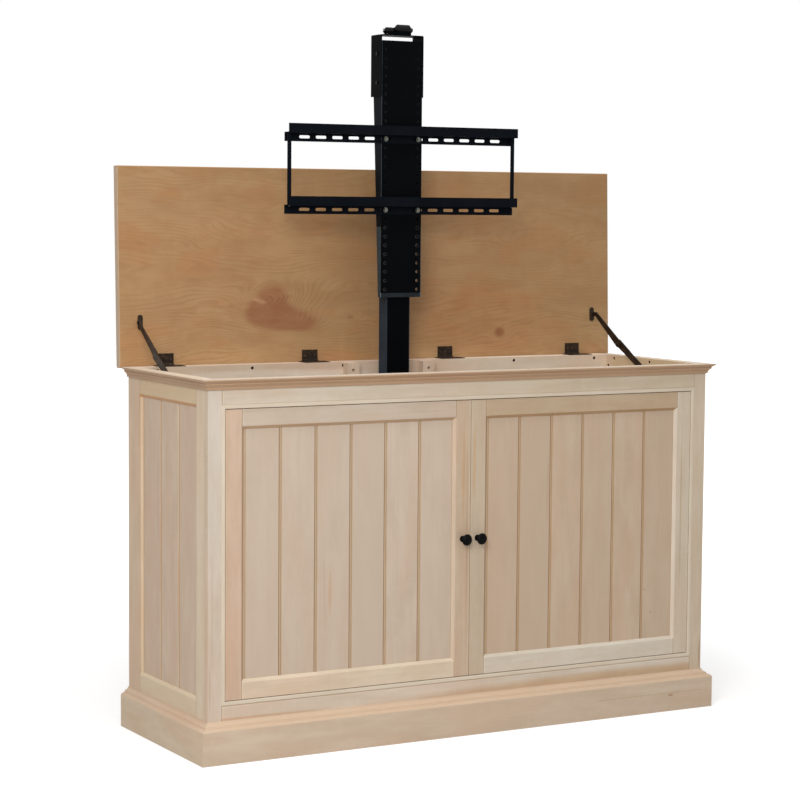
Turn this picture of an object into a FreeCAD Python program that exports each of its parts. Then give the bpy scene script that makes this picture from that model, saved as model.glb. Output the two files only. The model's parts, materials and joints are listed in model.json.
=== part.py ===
"""TV lift cabinet: a pine cabinet with beadboard doors, a hinged plywood lid and a two-stage television lift.

Millimetres. +X is to the right seen from the front, +Y is to the back, +Z is up.
The origin is on the floor under the centre of the carcass. The lid stands open and the lift is raised.
"""
import FreeCAD, Part
import math
import os

Vec = FreeCAD.Vector

# ---------------------------------------------------------------- carcass
CABINET_WIDTH = 1592.0
CABINET_DEPTH = 528.0
CABINET_HEIGHT = 1010.0
FRAME_THICKNESS = 22.0
FACE_STILE_WIDTH = 40.0
FACE_TOP_RAIL_HEIGHT = 68.0
FACE_BOTTOM_RAIL_HEIGHT = 91.0
FACE_BOTTOM = 60.0
BEAD_WIDTH = 10.0
BEAD_PROUD = 1.5
BEAD_ROUNDING = 1.2
BOARD_THICKNESS = 10.0
BOARD_CHAMFER = 2.4
BOARD_BEAD_RADIUS = 2.7
BOARD_QUIRK_SLOPE = 2.6
BOARD_TENON = 8.0
FRAME_BEVEL = 8.0
FRAME_BEVEL_DROP = 7.0
PANEL_RECESS = 8.0
SIDE_FRONT_STILE = 49.0
SIDE_BACK_STILE = 79.0
SIDE_TOP_RAIL = 70.0
SIDE_BOTTOM_RAIL = 157.0
SIDE_BOARDS = 3
BACK_RAIL_HEIGHT = 60.0
BACK_RAIL_DEPTH = 48.0
BACK_PANEL_THICKNESS = 9.0
BATTEN_WIDTH = 40.0
BATTEN_DEPTH = 26.0
BATTEN_CENTRE = 126.0
BATTEN_TOP_DROP = 3.0
BATTEN_HOLE_DROP = 20.0
FLOOR_TOP = 140.0
FLOOR_THICKNESS = 18.0
RUNNER_WIDTH = 60.0
CORNER_BLOCK = 32.0
CORNER_BLOCK_HEIGHT = 90.0
CORNER_BLOCK_DROP = 60.0
POCKET_HOLE_RADIUS = 4.5
POCKET_HOLE_DEPTH = 12.0
POCKET_HOLE_DROP = 10.0
POCKET_HOLE_COUNT = 6
POCKET_HOLE_END = 44.5
SIDE_HOLE_COUNT = 3
SIDE_HOLE_END = 43.0
SIDE_LOW_HOLE_DROP = 33.0
SIDE_LOW_HOLE_END = 12.0

# ---------------------------------------------------------------- mouldings
PLINTH_HEIGHT = 88.0
PLINTH_PROJECTION = 25.0
BASE_CAP_HEIGHT = 23.0
CROWN_HEIGHT = 28.0
CROWN_PROJECTION = 21.0
CROWN_BAND = 4.0
CROWN_WAIST_PROJECTION = 12.4
CROWN_WAIST_HEIGHT = 14.0
CROWN_WAIST_BAND = 4.0
CROWN_WAIST_STEP = 1.2
CROWN_EDGE = 4.0
CROWN_UPPER_COVE_BULGE = 1.2
CROWN_LOWER_COVE_BULGE = 1.8
BASE_CAP_STEP_PROJECTION = 14.0
BASE_CAP_STEP_HEIGHT = 7.4
BASE_CAP_COVE_PROJECTION = 12.0
BASE_CAP_COVE_HEIGHT = 12.9
BASE_CAP_OVOLO_BULGE = 2.3
BASE_CAP_COVE_BULGE = 2.0
MOULDING_EDGE = 2.0

# ---------------------------------------------------------------- doors
DOOR_THICKNESS = 20.0
DOOR_GAP = 2.0
DOOR_RECESS = 1.5
DOOR_STILE = 46.0
DOOR_TOP_RAIL = 45.0
DOOR_BOTTOM_RAIL = 44.0
DOOR_BOARDS = 6
KNOB_RADIUS = 16.0
KNOB_NECK_RADIUS = 6.0
KNOB_FOOT_RADIUS = 9.0
KNOB_PROJECTION = 32.0
KNOB_HEAD_DEPTH = 13.0
KNOB_RIM_DEPTH = 7.2
KNOB_FOOT_HEIGHT = 1.5
KNOB_UNDERCUT = 2.0
KNOB_CROWN_BULGE = 2.6
KNOB_FLARE_BULGE = 0.6
KNOB_NECK_BULGE = 1.2
KNOB_BORE = 2.5
KNOB_SCREW_HEAD_RADIUS = 5.0
KNOB_SCREW_HEAD_HEIGHT = 2.0
CUP_RADIUS = 17.5
CUP_DEPTH = 12.0
CUP_FLANGE = 1.0
CUP_FLANGE_RIM = 3.0
CUP_WALL = 2.0
CUP_FLOOR = 1.5
CUP_EDGE_DISTANCE = 24.0
CUP_END_DISTANCE = 95.0
CUP_CLEARANCE = 0.3
HINGE_ARM_WIDTH = 14.0
HINGE_ARM_THICKNESS = 8.0
HINGE_PLATE_HEIGHT = 50.0
HINGE_PLATE_THICKNESS = 3.0
HINGE_PLATE_MARGIN = 1.0
HINGE_ARM_END = 8.0
CATCH_WIDTH = 34.0
CATCH_HEIGHT = 26.0
CATCH_DEPTH = 18.0
CATCH_MARGIN = 1.0
STRIKE_RADIUS = 9.0
STRIKE_THICKNESS = 1.2
STRIKE_EDGE_DISTANCE = 20.0
CATCH_CLEARANCE = 0.3

# ---------------------------------------------------------------- lid
LID_SIDE_OVERHANG = 2.0
LID_FRONT_OVERHANG = 2.0
LID_THICKNESS = 25.0
LID_LEAN_DEG = 1.9
LID_EDGE_ROUNDING = 2.0
LID_BOTTOM_DROP = 4.0
HINGE_LEAF_THICKNESS = 2.0
HINGE_LEAF_GAP = 0.5
HINGE_KNUCKLE_RADIUS = 4.0
HINGE_PIN_RADIUS = 2.0
HINGE_PIN_CLEARANCE = 0.05
HINGE_BACK_CLEARANCE = 0.2
HINGE_LENGTH = 50.0
HINGE_LID_LEAF_HEIGHT = 32.0
HINGE_RAIL_LEAF_WIDTH = 80.0
HINGE_RAIL_LEAF_DEPTH = 46.0
HINGE_COUNT = 4
HINGE_END_DISTANCE = 114.0
LEAF_SCREW_RADIUS = 3.6
LEAF_SCREW_RISE = 0.8
LEAF_SCREW_EDGE = 9.0
LEAF_SCREW_SPACING = 16.0
LEAF_SCREW_DROP = 5.5
KNUCKLE_CLEARANCE = 0.4
KNUCKLE_GAP = 0.2
NOTCH_MARGIN = 1.0

# ---------------------------------------------------------------- lid stays
STAY_ARM_LENGTH = 148.0
STAY_ELBOW_WIDTH = 24.0
STAY_UPPER_TIP_WIDTH = 13.0
STAY_LOWER_TIP_WIDTH = 17.0
STAY_ARM_THICKNESS = 3.0
STAY_GAP = 0.5
STAY_FOOT_FROM_HINGE = 256.0
STAY_FOOT_DROP = 35.0
STAY_LID_DISTANCE = 120.0
STAY_LID_OFFSET = 12.0
STAY_PIN_RADIUS = 3.0
STAY_PIN_CLEARANCE = 0.05
STAY_PLATE_THICKNESS = 2.5
STAY_PLATE_WIDTH = 15.0
STAY_PLATE_LENGTH = 42.0
STAY_RIVET_RADIUS = 5.0
STAY_RIVET_RISE = 1.6
STAY_HEAD_CLEARANCE = 0.2
STAY_LUG_MARGIN = 3.0

# ---------------------------------------------------------------- television lift
LIFT_TRAVEL = 974.0
LIFT_BACK_CLEARANCE = 11.2
LIFT_PLATE_WIDTH = 134.0
LIFT_PLATE_THICKNESS = 3.0
LIFT_PLATE_FLOOR_CLEARANCE = 84.5
LIFT_PLATE_TOP_DROP = 17.0
LIFT_FLANGE_TOP_DEPTH = 47.0
LIFT_FLANGE_BOTTOM_DEPTH = 13.0
HEM_THICKNESS = 1.5
HEM_HEIGHT = 11.0
HOLE_PITCH = 25.4
HOLE_COLUMN = 53.2
HOLE_RADIUS = 4.0
HOLE_FIRST = 22.5
COLUMN_SETBACK = 12.0
MIDDLE_WIDTH = 76.0
MIDDLE_DEPTH = 46.0
MIDDLE_WALL = 3.0
MIDDLE_FLOOR_CLEARANCE = 4.0
MIDDLE_TOP_RISE = 25.0
GLIDE_THICKNESS = 3.0
GLIDE_CLEARANCE = 0.3
GLIDE_HEIGHT = 35.0
GLIDE_TOP_DROP = 5.0
OUTER_WALL = 2.5
OUTER_TOP_DROP = 105.0
INNER_WALL = 2.5
INNER_FLOOR_CLEARANCE = 12.0
INNER_TOP_DROP = 32.0
BASE_THICKNESS = 6.0
BASE_HALF_WIDTH = 75.0
BASE_FRONT_MARGIN = 28.0
BASE_BACK_MARGIN = 7.0
BASE_SHELF_MARGIN = 14.0
MOTOR_RADIUS = 28.0
MOTOR_HEIGHT = 180.0
MOTOR_CENTRE_X = 112.0
MOTOR_FORWARD = 7.0
MOTOR_COLLAR = 4.0
MOTOR_COLLAR_HEIGHT = 40.0
GEAR_CASE_DEPTH = 14.0
GEAR_CASE_SETBACK = 2.0
CONTROL_BOX_WIDTH = 150.0
CONTROL_BOX_DEPTH = 62.0
CONTROL_BOX_HEIGHT = 42.0
CONTROL_BOX_ROUNDING = 5.0
CONTROL_BOX_CENTRE_X = -250.0
INLET_WIDTH = 48.0
INLET_HEIGHT = 30.0
INLET_DEPTH = 24.0
INLET_WALL = 6.0
INLET_FLOOR = 4.0
INLET_RIM = 4.0
INLET_RIM_THICKNESS = 2.0
INLET_CENTRE_X = -330.0
INLET_CENTRE_Z = 240.0
INLET_BLADE_SPACING = 8.0
INLET_BLADE_WIDTH = 2.0
INLET_BLADE_HEIGHT = 6.0
INLET_BLADE_RECESS = 3.0
HEAD_HEIGHT = 177.0
HEAD_DEPTH = 61.0
HEAD_THICKNESS = 2.5
HEAD_ROUNDING = 4.5
HEAD_FORWARD = 2.0
HEAD_SCREW_FIRST = 40.0
HEAD_SCREW_SPACING = 82.0
HEAD_SCREW_RADIUS = 5.0
HEAD_SCREW_RISE = 2.0
CAP_THICKNESS = 6.0
BAR_LENGTH = 752.0
BAR_THICKNESS = 3.0
BAR_FLANGE = 26.0
BAR_BAND = 24.0
BAR_STEP = 28.0
ROWS_UNDER_LOWER_BAR = 9
ROWS_BETWEEN_BARS = 8
SLOT_PITCH = 52.3
SLOT_COUNT = 6
SLOT_LENGTH = 34.5
SLOT_WIDTH = 8.5
STRAP_WIDTH = 11.0
STRAP_THICKNESS = 4.0
STRAP_INSET = 3.0
BOLT_HEAD_RADIUS = 5.5
BOLT_HEAD_HEIGHT = 4.0
BOLT_NUT_HEIGHT = 5.0
WASHER_RADIUS = 7.4
WASHER_THICKNESS = 1.2
ROLLER_LID_CLEARANCE = 7.0
ROLLER_RADIUS = 13.5
ROLLER_LENGTH = 55.0
ROLLER_CENTRE_X = 17.5
SMALL_ROLLER_RADIUS = 9.0
SMALL_ROLLER_LENGTH = 29.0
ROLLER_AXLE_RADIUS = 3.0
ROLLER_CLEARANCE = 0.05
ROLLER_EAR = 3.0
ROLLER_EAR_MARGIN = 1.5
ROLLER_LIP = 2.0
ROLLER_LIP_HEIGHT = 6.5
ROLLER_SIDE_GAP = 0.3
ROLLER_FLOOR_GAP = 1.5
ROLLER_CHAMFER = 9.0
SMALL_ROLLER_CHAMFER = 5.0
CUT_OVERRUN = 1.0

# ---------------------------------------------------------------- derived places
FRONT = -CABINET_DEPTH / 2
BACK = CABINET_DEPTH / 2
LEFT = -CABINET_WIDTH / 2
RIGHT = CABINET_WIDTH / 2
INNER_RIGHT = RIGHT - FRAME_THICKNESS
FRAME_BACK = FRONT + FRAME_THICKNESS
BACK_RAIL_FRONT = BACK - BACK_RAIL_DEPTH
BASE_CAP_TOP = PLINTH_HEIGHT + BASE_CAP_HEIGHT
CROWN_BOTTOM = CABINET_HEIGHT - CROWN_HEIGHT
OPENING_RIGHT = RIGHT - FACE_STILE_WIDTH - BEAD_WIDTH
OPENING_TOP = CABINET_HEIGHT - FACE_TOP_RAIL_HEIGHT - BEAD_WIDTH
OPENING_BOTTOM = FACE_BOTTOM + FACE_BOTTOM_RAIL_HEIGHT + BEAD_WIDTH
DOOR_FRONT = FRONT + DOOR_RECESS
DOOR_BACK = DOOR_FRONT + DOOR_THICKNESS
DOOR_WIDTH = OPENING_RIGHT - 1.5 * DOOR_GAP
DOOR_LOW = OPENING_BOTTOM + DOOR_GAP
DOOR_HIGH = OPENING_TOP - DOOR_GAP
DOOR_MIDDLE = (DOOR_LOW + DOOR_HIGH) / 2
HINGE_AXIS_Y = BACK + HINGE_KNUCKLE_RADIUS + HINGE_BACK_CLEARANCE
HINGE_AXIS_Z = CABINET_HEIGHT + HINGE_LEAF_THICKNESS + HINGE_LEAF_GAP / 2
LID_FACE_Y = HINGE_AXIS_Y + HINGE_LEAF_THICKNESS + HINGE_LEAF_GAP / 2
LID_BOTTOM_Z = CABINET_HEIGHT - LID_BOTTOM_DROP
LID_BACK_WHEN_CLOSED = HINGE_AXIS_Y + HINGE_AXIS_Z - LID_BOTTOM_Z
LID_UNDERSIDE_WHEN_CLOSED = HINGE_AXIS_Z + LID_FACE_Y - HINGE_AXIS_Y
LID_WIDTH = CABINET_WIDTH + 2 * (CROWN_PROJECTION + LID_SIDE_OVERHANG)
LID_LENGTH = LID_BACK_WHEN_CLOSED - FRONT + CROWN_PROJECTION + LID_FRONT_OVERHANG
OUTER_WIDTH = MIDDLE_WIDTH + 2 * (GLIDE_THICKNESS + GLIDE_CLEARANCE + OUTER_WALL)
OUTER_DEPTH = MIDDLE_DEPTH + 2 * (GLIDE_THICKNESS + GLIDE_CLEARANCE + OUTER_WALL)
INNER_WIDTH = MIDDLE_WIDTH - 2 * (MIDDLE_WALL + GLIDE_THICKNESS)
INNER_DEPTH = MIDDLE_DEPTH - 2 * (MIDDLE_WALL + GLIDE_THICKNESS)
COLUMN_CENTRE_Y = BACK_RAIL_FRONT - LIFT_BACK_CLEARANCE - OUTER_DEPTH / 2
PLATE_FRONT = COLUMN_CENTRE_Y - MIDDLE_DEPTH / 2 - COLUMN_SETBACK
PLATE_BACK = PLATE_FRONT + LIFT_PLATE_THICKNESS
BASE_TOP = FLOOR_TOP + BASE_THICKNESS
OUTER_TOP = CABINET_HEIGHT - OUTER_TOP_DROP
MIDDLE_BOTTOM = BASE_TOP + MIDDLE_FLOOR_CLEARANCE + LIFT_TRAVEL / 2
MIDDLE_TOP = OUTER_TOP + MIDDLE_TOP_RISE + LIFT_TRAVEL / 2
ROLLER_STACK = ROLLER_EAR + ROLLER_FLOOR_GAP + 2 * ROLLER_RADIUS
HEAD_TOP = LID_UNDERSIDE_WHEN_CLOSED - ROLLER_LID_CLEARANCE - ROLLER_STACK + LIFT_TRAVEL
HEAD_BOTTOM = HEAD_TOP - HEAD_HEIGHT
HEAD_FRONT = PLATE_FRONT - HEAD_FORWARD
INNER_BOTTOM = BASE_TOP + INNER_FLOOR_CLEARANCE + LIFT_TRAVEL
INNER_TOP = HEAD_TOP - INNER_TOP_DROP
LIFT_PLATE_BOTTOM = FLOOR_TOP + LIFT_PLATE_FLOOR_CLEARANCE + LIFT_TRAVEL
LIFT_PLATE_TOP = HEAD_TOP - LIFT_PLATE_TOP_DROP
HOLE_ROWS = int((LIFT_PLATE_TOP - LIFT_PLATE_BOTTOM - 2 * HOLE_FIRST) / HOLE_PITCH) + 1
BAR_LOWER_Z = LIFT_PLATE_BOTTOM + HOLE_FIRST + ROWS_UNDER_LOWER_BAR * HOLE_PITCH
BAR_UPPER_Z = BAR_LOWER_Z + ROWS_BETWEEN_BARS * HOLE_PITCH


# ---------------------------------------------------------------- helpers
def box(x0, x1, y0, y1, z0, z1):
    """A box between two corners."""
    return Part.makeBox(x1 - x0, y1 - y0, z1 - z0, Vec(x0, y0, z0))


def centred_box(x, half_width, y0, y1, z0, z1):
    """A box centred on x."""
    return box(x - half_width, x + half_width, y0, y1, z0, z1)


def prism(points, direction):
    """A solid made by pushing a closed flat outline along a direction."""
    return Part.Face(Part.makePolygon(points + [points[0]])).extrude(direction)


def cylinder(radius, start, end):
    """A round bar from one point to another."""
    axis = end - start
    return Part.makeCylinder(radius, axis.Length, start, axis)


def centred_tube(width, depth, wall, z0, z1):
    """A rectangular tube around the lift's column line."""
    half_w = width / 2
    y0 = COLUMN_CENTRE_Y - depth / 2
    y1 = COLUMN_CENTRE_Y + depth / 2
    outside = box(-half_w, half_w, y0, y1, z0, z1)
    inside = box(-half_w + wall, half_w - wall, y0 + wall, y1 - wall, z0, z1)
    return outside.cut(inside)


def turned(shape, degrees, y, z):
    """A copy turned about a line along X."""
    copy = shape.copy()
    copy.rotate(Vec(0, y, z), Vec(1, 0, 0), degrees)
    return copy


def spun(shape, degrees, place):
    """A copy turned about Z at the origin and moved to a place."""
    copy = shape.copy()
    copy.rotate(Vec(0, 0, 0), Vec(0, 0, 1), degrees)
    copy.translate(place)
    return copy


def mirrored(shape):
    """The same piece on the other side of the cabinet."""
    return shape.mirror(Vec(0, 0, 0), Vec(1, 0, 0))


def on_left_side(shape):
    """Places a piece drawn as a front onto the left side, running from back to front."""
    return spun(shape, -90, Vec(LEFT, BACK, 0))


def on_right_side(shape):
    """Places a piece drawn as a front onto the right side, running from front to back."""
    return spun(shape, 90, Vec(RIGHT, FRONT, 0))


def export(name, shapes):
    """Writes one node, a solid or a group of separate solids."""
    solids = []
    for shape in shapes:
        solids.extend(shape.Solids)
    for solid in solids:
        if not solid.isValid():
            raise ValueError("invalid solid in " + name)
    whole = solids[0] if len(solids) == 1 else Part.makeCompound(solids)
    whole.exportStep("parts/" + name + ".step")


# ---------------------------------------------------------------- framed panels
def edge_piece(corners, k, bevel, front, back):
    """One mitred bevelled strip inside a frame, from corner k to the next one."""
    inward = {0: (1, 1), 1: (-1, 1), 2: (-1, -1), 3: (1, -1)}
    wires = []
    for i in (k, (k + 1) % 4):
        x, z = corners[i]
        dx, dz = inward[i]
        inner_x = x + dx * bevel
        inner_z = z + dz * bevel
        section = [Vec(x, front, z), Vec(inner_x, front + FRAME_BEVEL_DROP, inner_z),
                   Vec(inner_x, back, inner_z), Vec(x, back, z)]
        wires.append(Part.makePolygon(section + [section[0]]))
    return Part.makeLoft(wires, True, True)


def beadboards(x0, x1, z0, z1, front, count):
    """A row of boards that enters the frame's groove, with a chamfer and a bead at each joint."""
    pitch = (x1 - x0) / count
    back = front + BOARD_THICKNESS
    z = z0 - BOARD_TENON
    boards = []
    for i in range(count):
        low = x0 + i * pitch
        high = low + pitch
        edges = []
        if i == 0:
            low -= BOARD_TENON
            corners = [Vec(low, front, z)]
        else:
            root = Vec(low, front + BOARD_BEAD_RADIUS, z)
            crest = Vec(low + BOARD_BEAD_RADIUS, front, z)
            quirk = Vec(low + 2 * BOARD_BEAD_RADIUS, front + BOARD_BEAD_RADIUS, z)
            edges.append(arc(root, crest, quirk))
            corners = [quirk, Vec(quirk.x + BOARD_QUIRK_SLOPE, front, z)]
        if i == count - 1:
            high += BOARD_TENON
            corners.append(Vec(high, front, z))
        else:
            corners += [Vec(high - BOARD_CHAMFER, front, z), Vec(high, front + BOARD_CHAMFER, z)]
        corners += [Vec(high, back, z), Vec(low, back, z)]
        corners.append(corners[0] if i == 0 else root)
        edges += Part.makePolygon(corners).Edges
        boards.append(Part.Face(Part.Wire(edges)).extrude(Vec(0, 0, z1 - z0 + 2 * BOARD_TENON)))
    return boards


def framed_panel(width, z0, z1, stiles, rails, front, thickness, boards):
    """A frame of two stiles and two rails around beadboards, drawn facing -Y from x = 0."""
    first, last = stiles
    bottom, top = rails
    back = front + thickness
    x_in = first
    x_out = width - last
    z_in = z0 + bottom
    z_out = z1 - top
    corners = [(x_in, z_in), (x_out, z_in), (x_out, z_out), (x_in, z_out)]
    edges = [edge_piece(corners, k, FRAME_BEVEL, front, back) for k in range(4)]
    members = {
        "stile_first": box(0, first, front, back, z0, z1).fuse(edges[3]),
        "stile_last": box(width - last, width, front, back, z0, z1).fuse(edges[1]),
        "rail_bottom": box(x_in, x_out, front, back, z0, z_in).fuse(edges[0]),
        "rail_top": box(x_in, x_out, front, back, z_out, z1).fuse(edges[2]),
    }
    board_x0 = x_in + FRAME_BEVEL
    board_x1 = x_out - FRAME_BEVEL
    board_z0 = z_in + FRAME_BEVEL
    board_z1 = z_out - FRAME_BEVEL
    board_front = front + PANEL_RECESS
    groove = box(board_x0 - BOARD_TENON, board_x1 + BOARD_TENON, board_front, board_front + BOARD_THICKNESS,
                 board_z0 - BOARD_TENON, board_z1 + BOARD_TENON)
    for name in members:
        members[name] = members[name].cut(groove).removeSplitter()
    panel = beadboards(board_x0, board_x1, board_z0, board_z1, board_front, boards)
    return members, panel


# ---------------------------------------------------------------- mouldings
def moulding_run(profile, length, mitre_start, mitre_end, reach):
    """A moulding drawn along +X with its show side to -Y and square or mitred ends."""
    run = profile.extrude(Vec(length + 2 * reach, 0, 0))
    run.translate(Vec(-reach, 0, 0))
    start_out = -reach if mitre_start else 0.0
    end_out = length + reach if mitre_end else length
    outline = [Vec(0, 0, -reach), Vec(length, 0, -reach),
               Vec(end_out, -reach, -reach), Vec(start_out, -reach, -reach)]
    return run.common(prism(outline, Vec(0, 0, CABINET_HEIGHT + 2 * reach)))


def moulding_set(profile, reach):
    """The front, left and right pieces of a moulding, mitred at the two front corners."""
    front = moulding_run(profile, CABINET_WIDTH, True, True, reach)
    front.translate(Vec(LEFT, FRONT, 0))
    left = on_left_side(moulding_run(profile, CABINET_DEPTH, False, True, reach))
    right = on_right_side(moulding_run(profile, CABINET_DEPTH, True, False, reach))
    return front, left, right


def line(start, end):
    return Part.makeLine(start, end)


def arc(start, middle, end):
    return Part.Arc(start, middle, end).toShape()


def bulged(start, end, bulge, normal):
    """An arc between two points whose middle stands off the chord, along chord x normal."""
    chord = end - start
    side = chord.cross(normal)
    side.normalize()
    return arc(start, (start + end) * 0.5 + side * bulge, end)


def flat_profile(points):
    """A moulding's outline as a face, from its distances in front of the frame and its heights."""
    corners = [Vec(0, -out, height) for out, height in points]
    return Part.Face(Part.makePolygon(corners + [corners[0]]))


def crown_profile():
    """A thin flat band, a cove down to a narrow waist band, and a second cove that ends near the frame."""
    waist_low = CROWN_BOTTOM + CROWN_WAIST_HEIGHT
    waist_high = waist_low + CROWN_WAIST_BAND
    a = Vec(0, 0, CABINET_HEIGHT)
    b = Vec(0, -CROWN_PROJECTION, CABINET_HEIGHT)
    c = Vec(0, -CROWN_PROJECTION, CABINET_HEIGHT - CROWN_BAND)
    d = Vec(0, -CROWN_WAIST_PROJECTION, waist_high)
    e = Vec(0, -CROWN_WAIST_PROJECTION, waist_low)
    f = Vec(0, CROWN_WAIST_STEP - CROWN_WAIST_PROJECTION, waist_low)
    g = Vec(0, -CROWN_EDGE, CROWN_BOTTOM)
    h = Vec(0, 0, CROWN_BOTTOM)
    along = Vec(1, 0, 0)
    edges = [line(a, b), line(b, c), bulged(c, d, -CROWN_UPPER_COVE_BULGE, along), line(d, e), line(e, f),
             bulged(f, g, -CROWN_LOWER_COVE_BULGE, along), line(g, h), line(h, a)]
    return Part.Face(Part.Wire(edges))


def base_cap_profile():
    """A rounded step over the plinth and a cove that ends on the frame."""
    a = Vec(0, 0, PLINTH_HEIGHT)
    b = Vec(0, -PLINTH_PROJECTION, PLINTH_HEIGHT)
    c = Vec(0, -BASE_CAP_STEP_PROJECTION, PLINTH_HEIGHT + BASE_CAP_STEP_HEIGHT)
    d = Vec(0, -BASE_CAP_COVE_PROJECTION, PLINTH_HEIGHT + BASE_CAP_COVE_HEIGHT)
    e = Vec(0, -MOULDING_EDGE, BASE_CAP_TOP)
    f = Vec(0, 0, BASE_CAP_TOP)
    along = Vec(1, 0, 0)
    edges = [line(a, b), bulged(b, c, -BASE_CAP_OVOLO_BULGE, along), line(c, d),
             bulged(d, e, BASE_CAP_COVE_BULGE, along), line(e, f), line(f, a)]
    return Part.Face(Part.Wire(edges))


def plinth_profile():
    out = PLINTH_PROJECTION
    return flat_profile([(0, 0), (out, 0), (out, PLINTH_HEIGHT), (0, PLINTH_HEIGHT)])


def build_mouldings():
    reach = 2 * PLINTH_PROJECTION
    plinths = moulding_set(plinth_profile(), reach)
    for name, shape in zip(("plinth_front", "plinth_left", "plinth_right"), plinths):
        export(name, [shape])
    export("base_cap_moulding", moulding_set(base_cap_profile(), reach))
    export("crown_moulding", moulding_set(crown_profile(), reach))


# ---------------------------------------------------------------- carcass pieces
def build_face_frame():
    outer = RIGHT - FACE_STILE_WIDTH
    top_rail_low = CABINET_HEIGHT - FACE_TOP_RAIL_HEIGHT
    bottom_rail_high = FACE_BOTTOM + FACE_BOTTOM_RAIL_HEIGHT
    stile = box(outer, RIGHT, FRONT, FRAME_BACK, 0, CABINET_HEIGHT)
    export("face_stile_right", [stile])
    export("face_stile_left", [mirrored(stile)])
    export("face_top_rail", [box(-outer, outer, FRONT, FRAME_BACK, top_rail_low, CABINET_HEIGHT)])
    export("face_bottom_rail", [box(-outer, outer, FRONT, FRAME_BACK, FACE_BOTTOM, bottom_rail_high)])
    export("opening_bead", bead_ring(outer, bottom_rail_high, top_rail_low))


def bead_ring(half_width, z0, z1):
    """Four mitred bead strips around the door opening, with a rounded inner front edge."""
    outer = [(-half_width, z0), (half_width, z0), (half_width, z1), (-half_width, z1)]
    inner = [(-OPENING_RIGHT, OPENING_BOTTOM), (OPENING_RIGHT, OPENING_BOTTOM),
             (OPENING_RIGHT, OPENING_TOP), (-OPENING_RIGHT, OPENING_TOP)]
    front = FRONT - BEAD_PROUD
    strips = []
    for k in range(4):
        wires = []
        for i in (k, (k + 1) % 4):
            (ox, oz), (ix, iz) = outer[i], inner[i]
            sx = math.copysign(BEAD_ROUNDING, ox)
            sz = BEAD_ROUNDING if i >= 2 else -BEAD_ROUNDING
            section = [Vec(ox - sx, front, oz - sz), Vec(ix + sx, front, iz + sz),
                       Vec(ix, front + BEAD_ROUNDING, iz), Vec(ix, FRAME_BACK, iz),
                       Vec(ox, FRAME_BACK, oz), Vec(ox, front + BEAD_ROUNDING, oz)]
            wires.append(Part.makePolygon(section + [section[0]]))
        strips.append(Part.makeLoft(wires, True, True))
    return strips


def build_sides():
    """Frame and beadboard sides that stand behind the face frame, with pocket screw holes inside."""
    depth = CABINET_DEPTH - FRAME_THICKNESS
    members, boards = framed_panel(depth, 0.0, CABINET_HEIGHT, (SIDE_FRONT_STILE, SIDE_BACK_STILE),
                                   (SIDE_BOTTOM_RAIL, SIDE_TOP_RAIL), 0.0, FRAME_THICKNESS, SIDE_BOARDS)
    inset = Vec(FRAME_THICKNESS, 0, 0)
    for shape in list(members.values()) + boards:
        shape.translate(inset)
    holes = Part.makeCompound(side_holes())
    pieces = [on_right_side(member).cut(holes) for member in members.values()]
    panel = [on_right_side(board) for board in boards]
    export("side_frame_right", pieces)
    export("side_frame_left", [mirrored(piece) for piece in pieces])
    export("side_boards_right", panel)
    export("side_boards_left", [mirrored(board) for board in panel])


def side_holes():
    """Pocket screw holes on the inner face of the right side, and one lower down by the back rail."""
    first = FRAME_BACK + SIDE_HOLE_END
    last = BACK_RAIL_FRONT - SIDE_HOLE_END
    step = (last - first) / (SIDE_HOLE_COUNT - 1)
    high = CABINET_HEIGHT - POCKET_HOLE_DROP
    places = [(first + i * step, high) for i in range(SIDE_HOLE_COUNT)]
    places.append((BACK_RAIL_FRONT - SIDE_LOW_HOLE_END, CABINET_HEIGHT - SIDE_LOW_HOLE_DROP))
    seats = [Vec(INNER_RIGHT, y, z) for y, z in places]
    return [cylinder(POCKET_HOLE_RADIUS, seat, seat + Vec(POCKET_HOLE_DEPTH, 0, 0)) for seat in seats]


def pocket_hole_places():
    """Pocket screw holes evenly spaced along the back rail, clear of the two battens."""
    span = 2 * (INNER_RIGHT - POCKET_HOLE_END)
    step = span / (POCKET_HOLE_COUNT - 1)
    return [-span / 2 + i * step for i in range(POCKET_HOLE_COUNT)]


def batten_blocks():
    """Two upright battens in front of the back rail, either side of the lift."""
    battens = []
    front = BACK_RAIL_FRONT - BATTEN_DEPTH
    high = CABINET_HEIGHT - BATTEN_TOP_DROP
    for centre in (-BATTEN_CENTRE, BATTEN_CENTRE):
        batten = centred_box(centre, BATTEN_WIDTH / 2, front, BACK_RAIL_FRONT, FLOOR_TOP, high)
        start = Vec(centre, front, high - BATTEN_HOLE_DROP)
        battens.append(batten.cut(cylinder(POCKET_HOLE_RADIUS, start, start + Vec(0, POCKET_HOLE_DEPTH, 0))))
    return battens


def build_back():
    rail_low = CABINET_HEIGHT - BACK_RAIL_HEIGHT
    rail = box(-INNER_RIGHT, INNER_RIGHT, BACK_RAIL_FRONT, BACK, rail_low, CABINET_HEIGHT)
    hole_z = CABINET_HEIGHT - POCKET_HOLE_DROP
    for x in pocket_hole_places():
        start = Vec(x, BACK_RAIL_FRONT, hole_z)
        rail = rail.cut(cylinder(POCKET_HOLE_RADIUS, start, start + Vec(0, POCKET_HOLE_DEPTH, 0)))
    export("back_top_rail", [rail])
    panel_front = BACK - BACK_PANEL_THICKNESS
    panel = box(-INNER_RIGHT, INNER_RIGHT, panel_front, BACK, FACE_BOTTOM, rail_low)
    opening = centred_box(INLET_CENTRE_X, INLET_WIDTH / 2, panel_front, BACK,
                          INLET_CENTRE_Z - INLET_HEIGHT / 2, INLET_CENTRE_Z + INLET_HEIGHT / 2)
    export("back_panel", [panel.cut(opening)])


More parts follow.
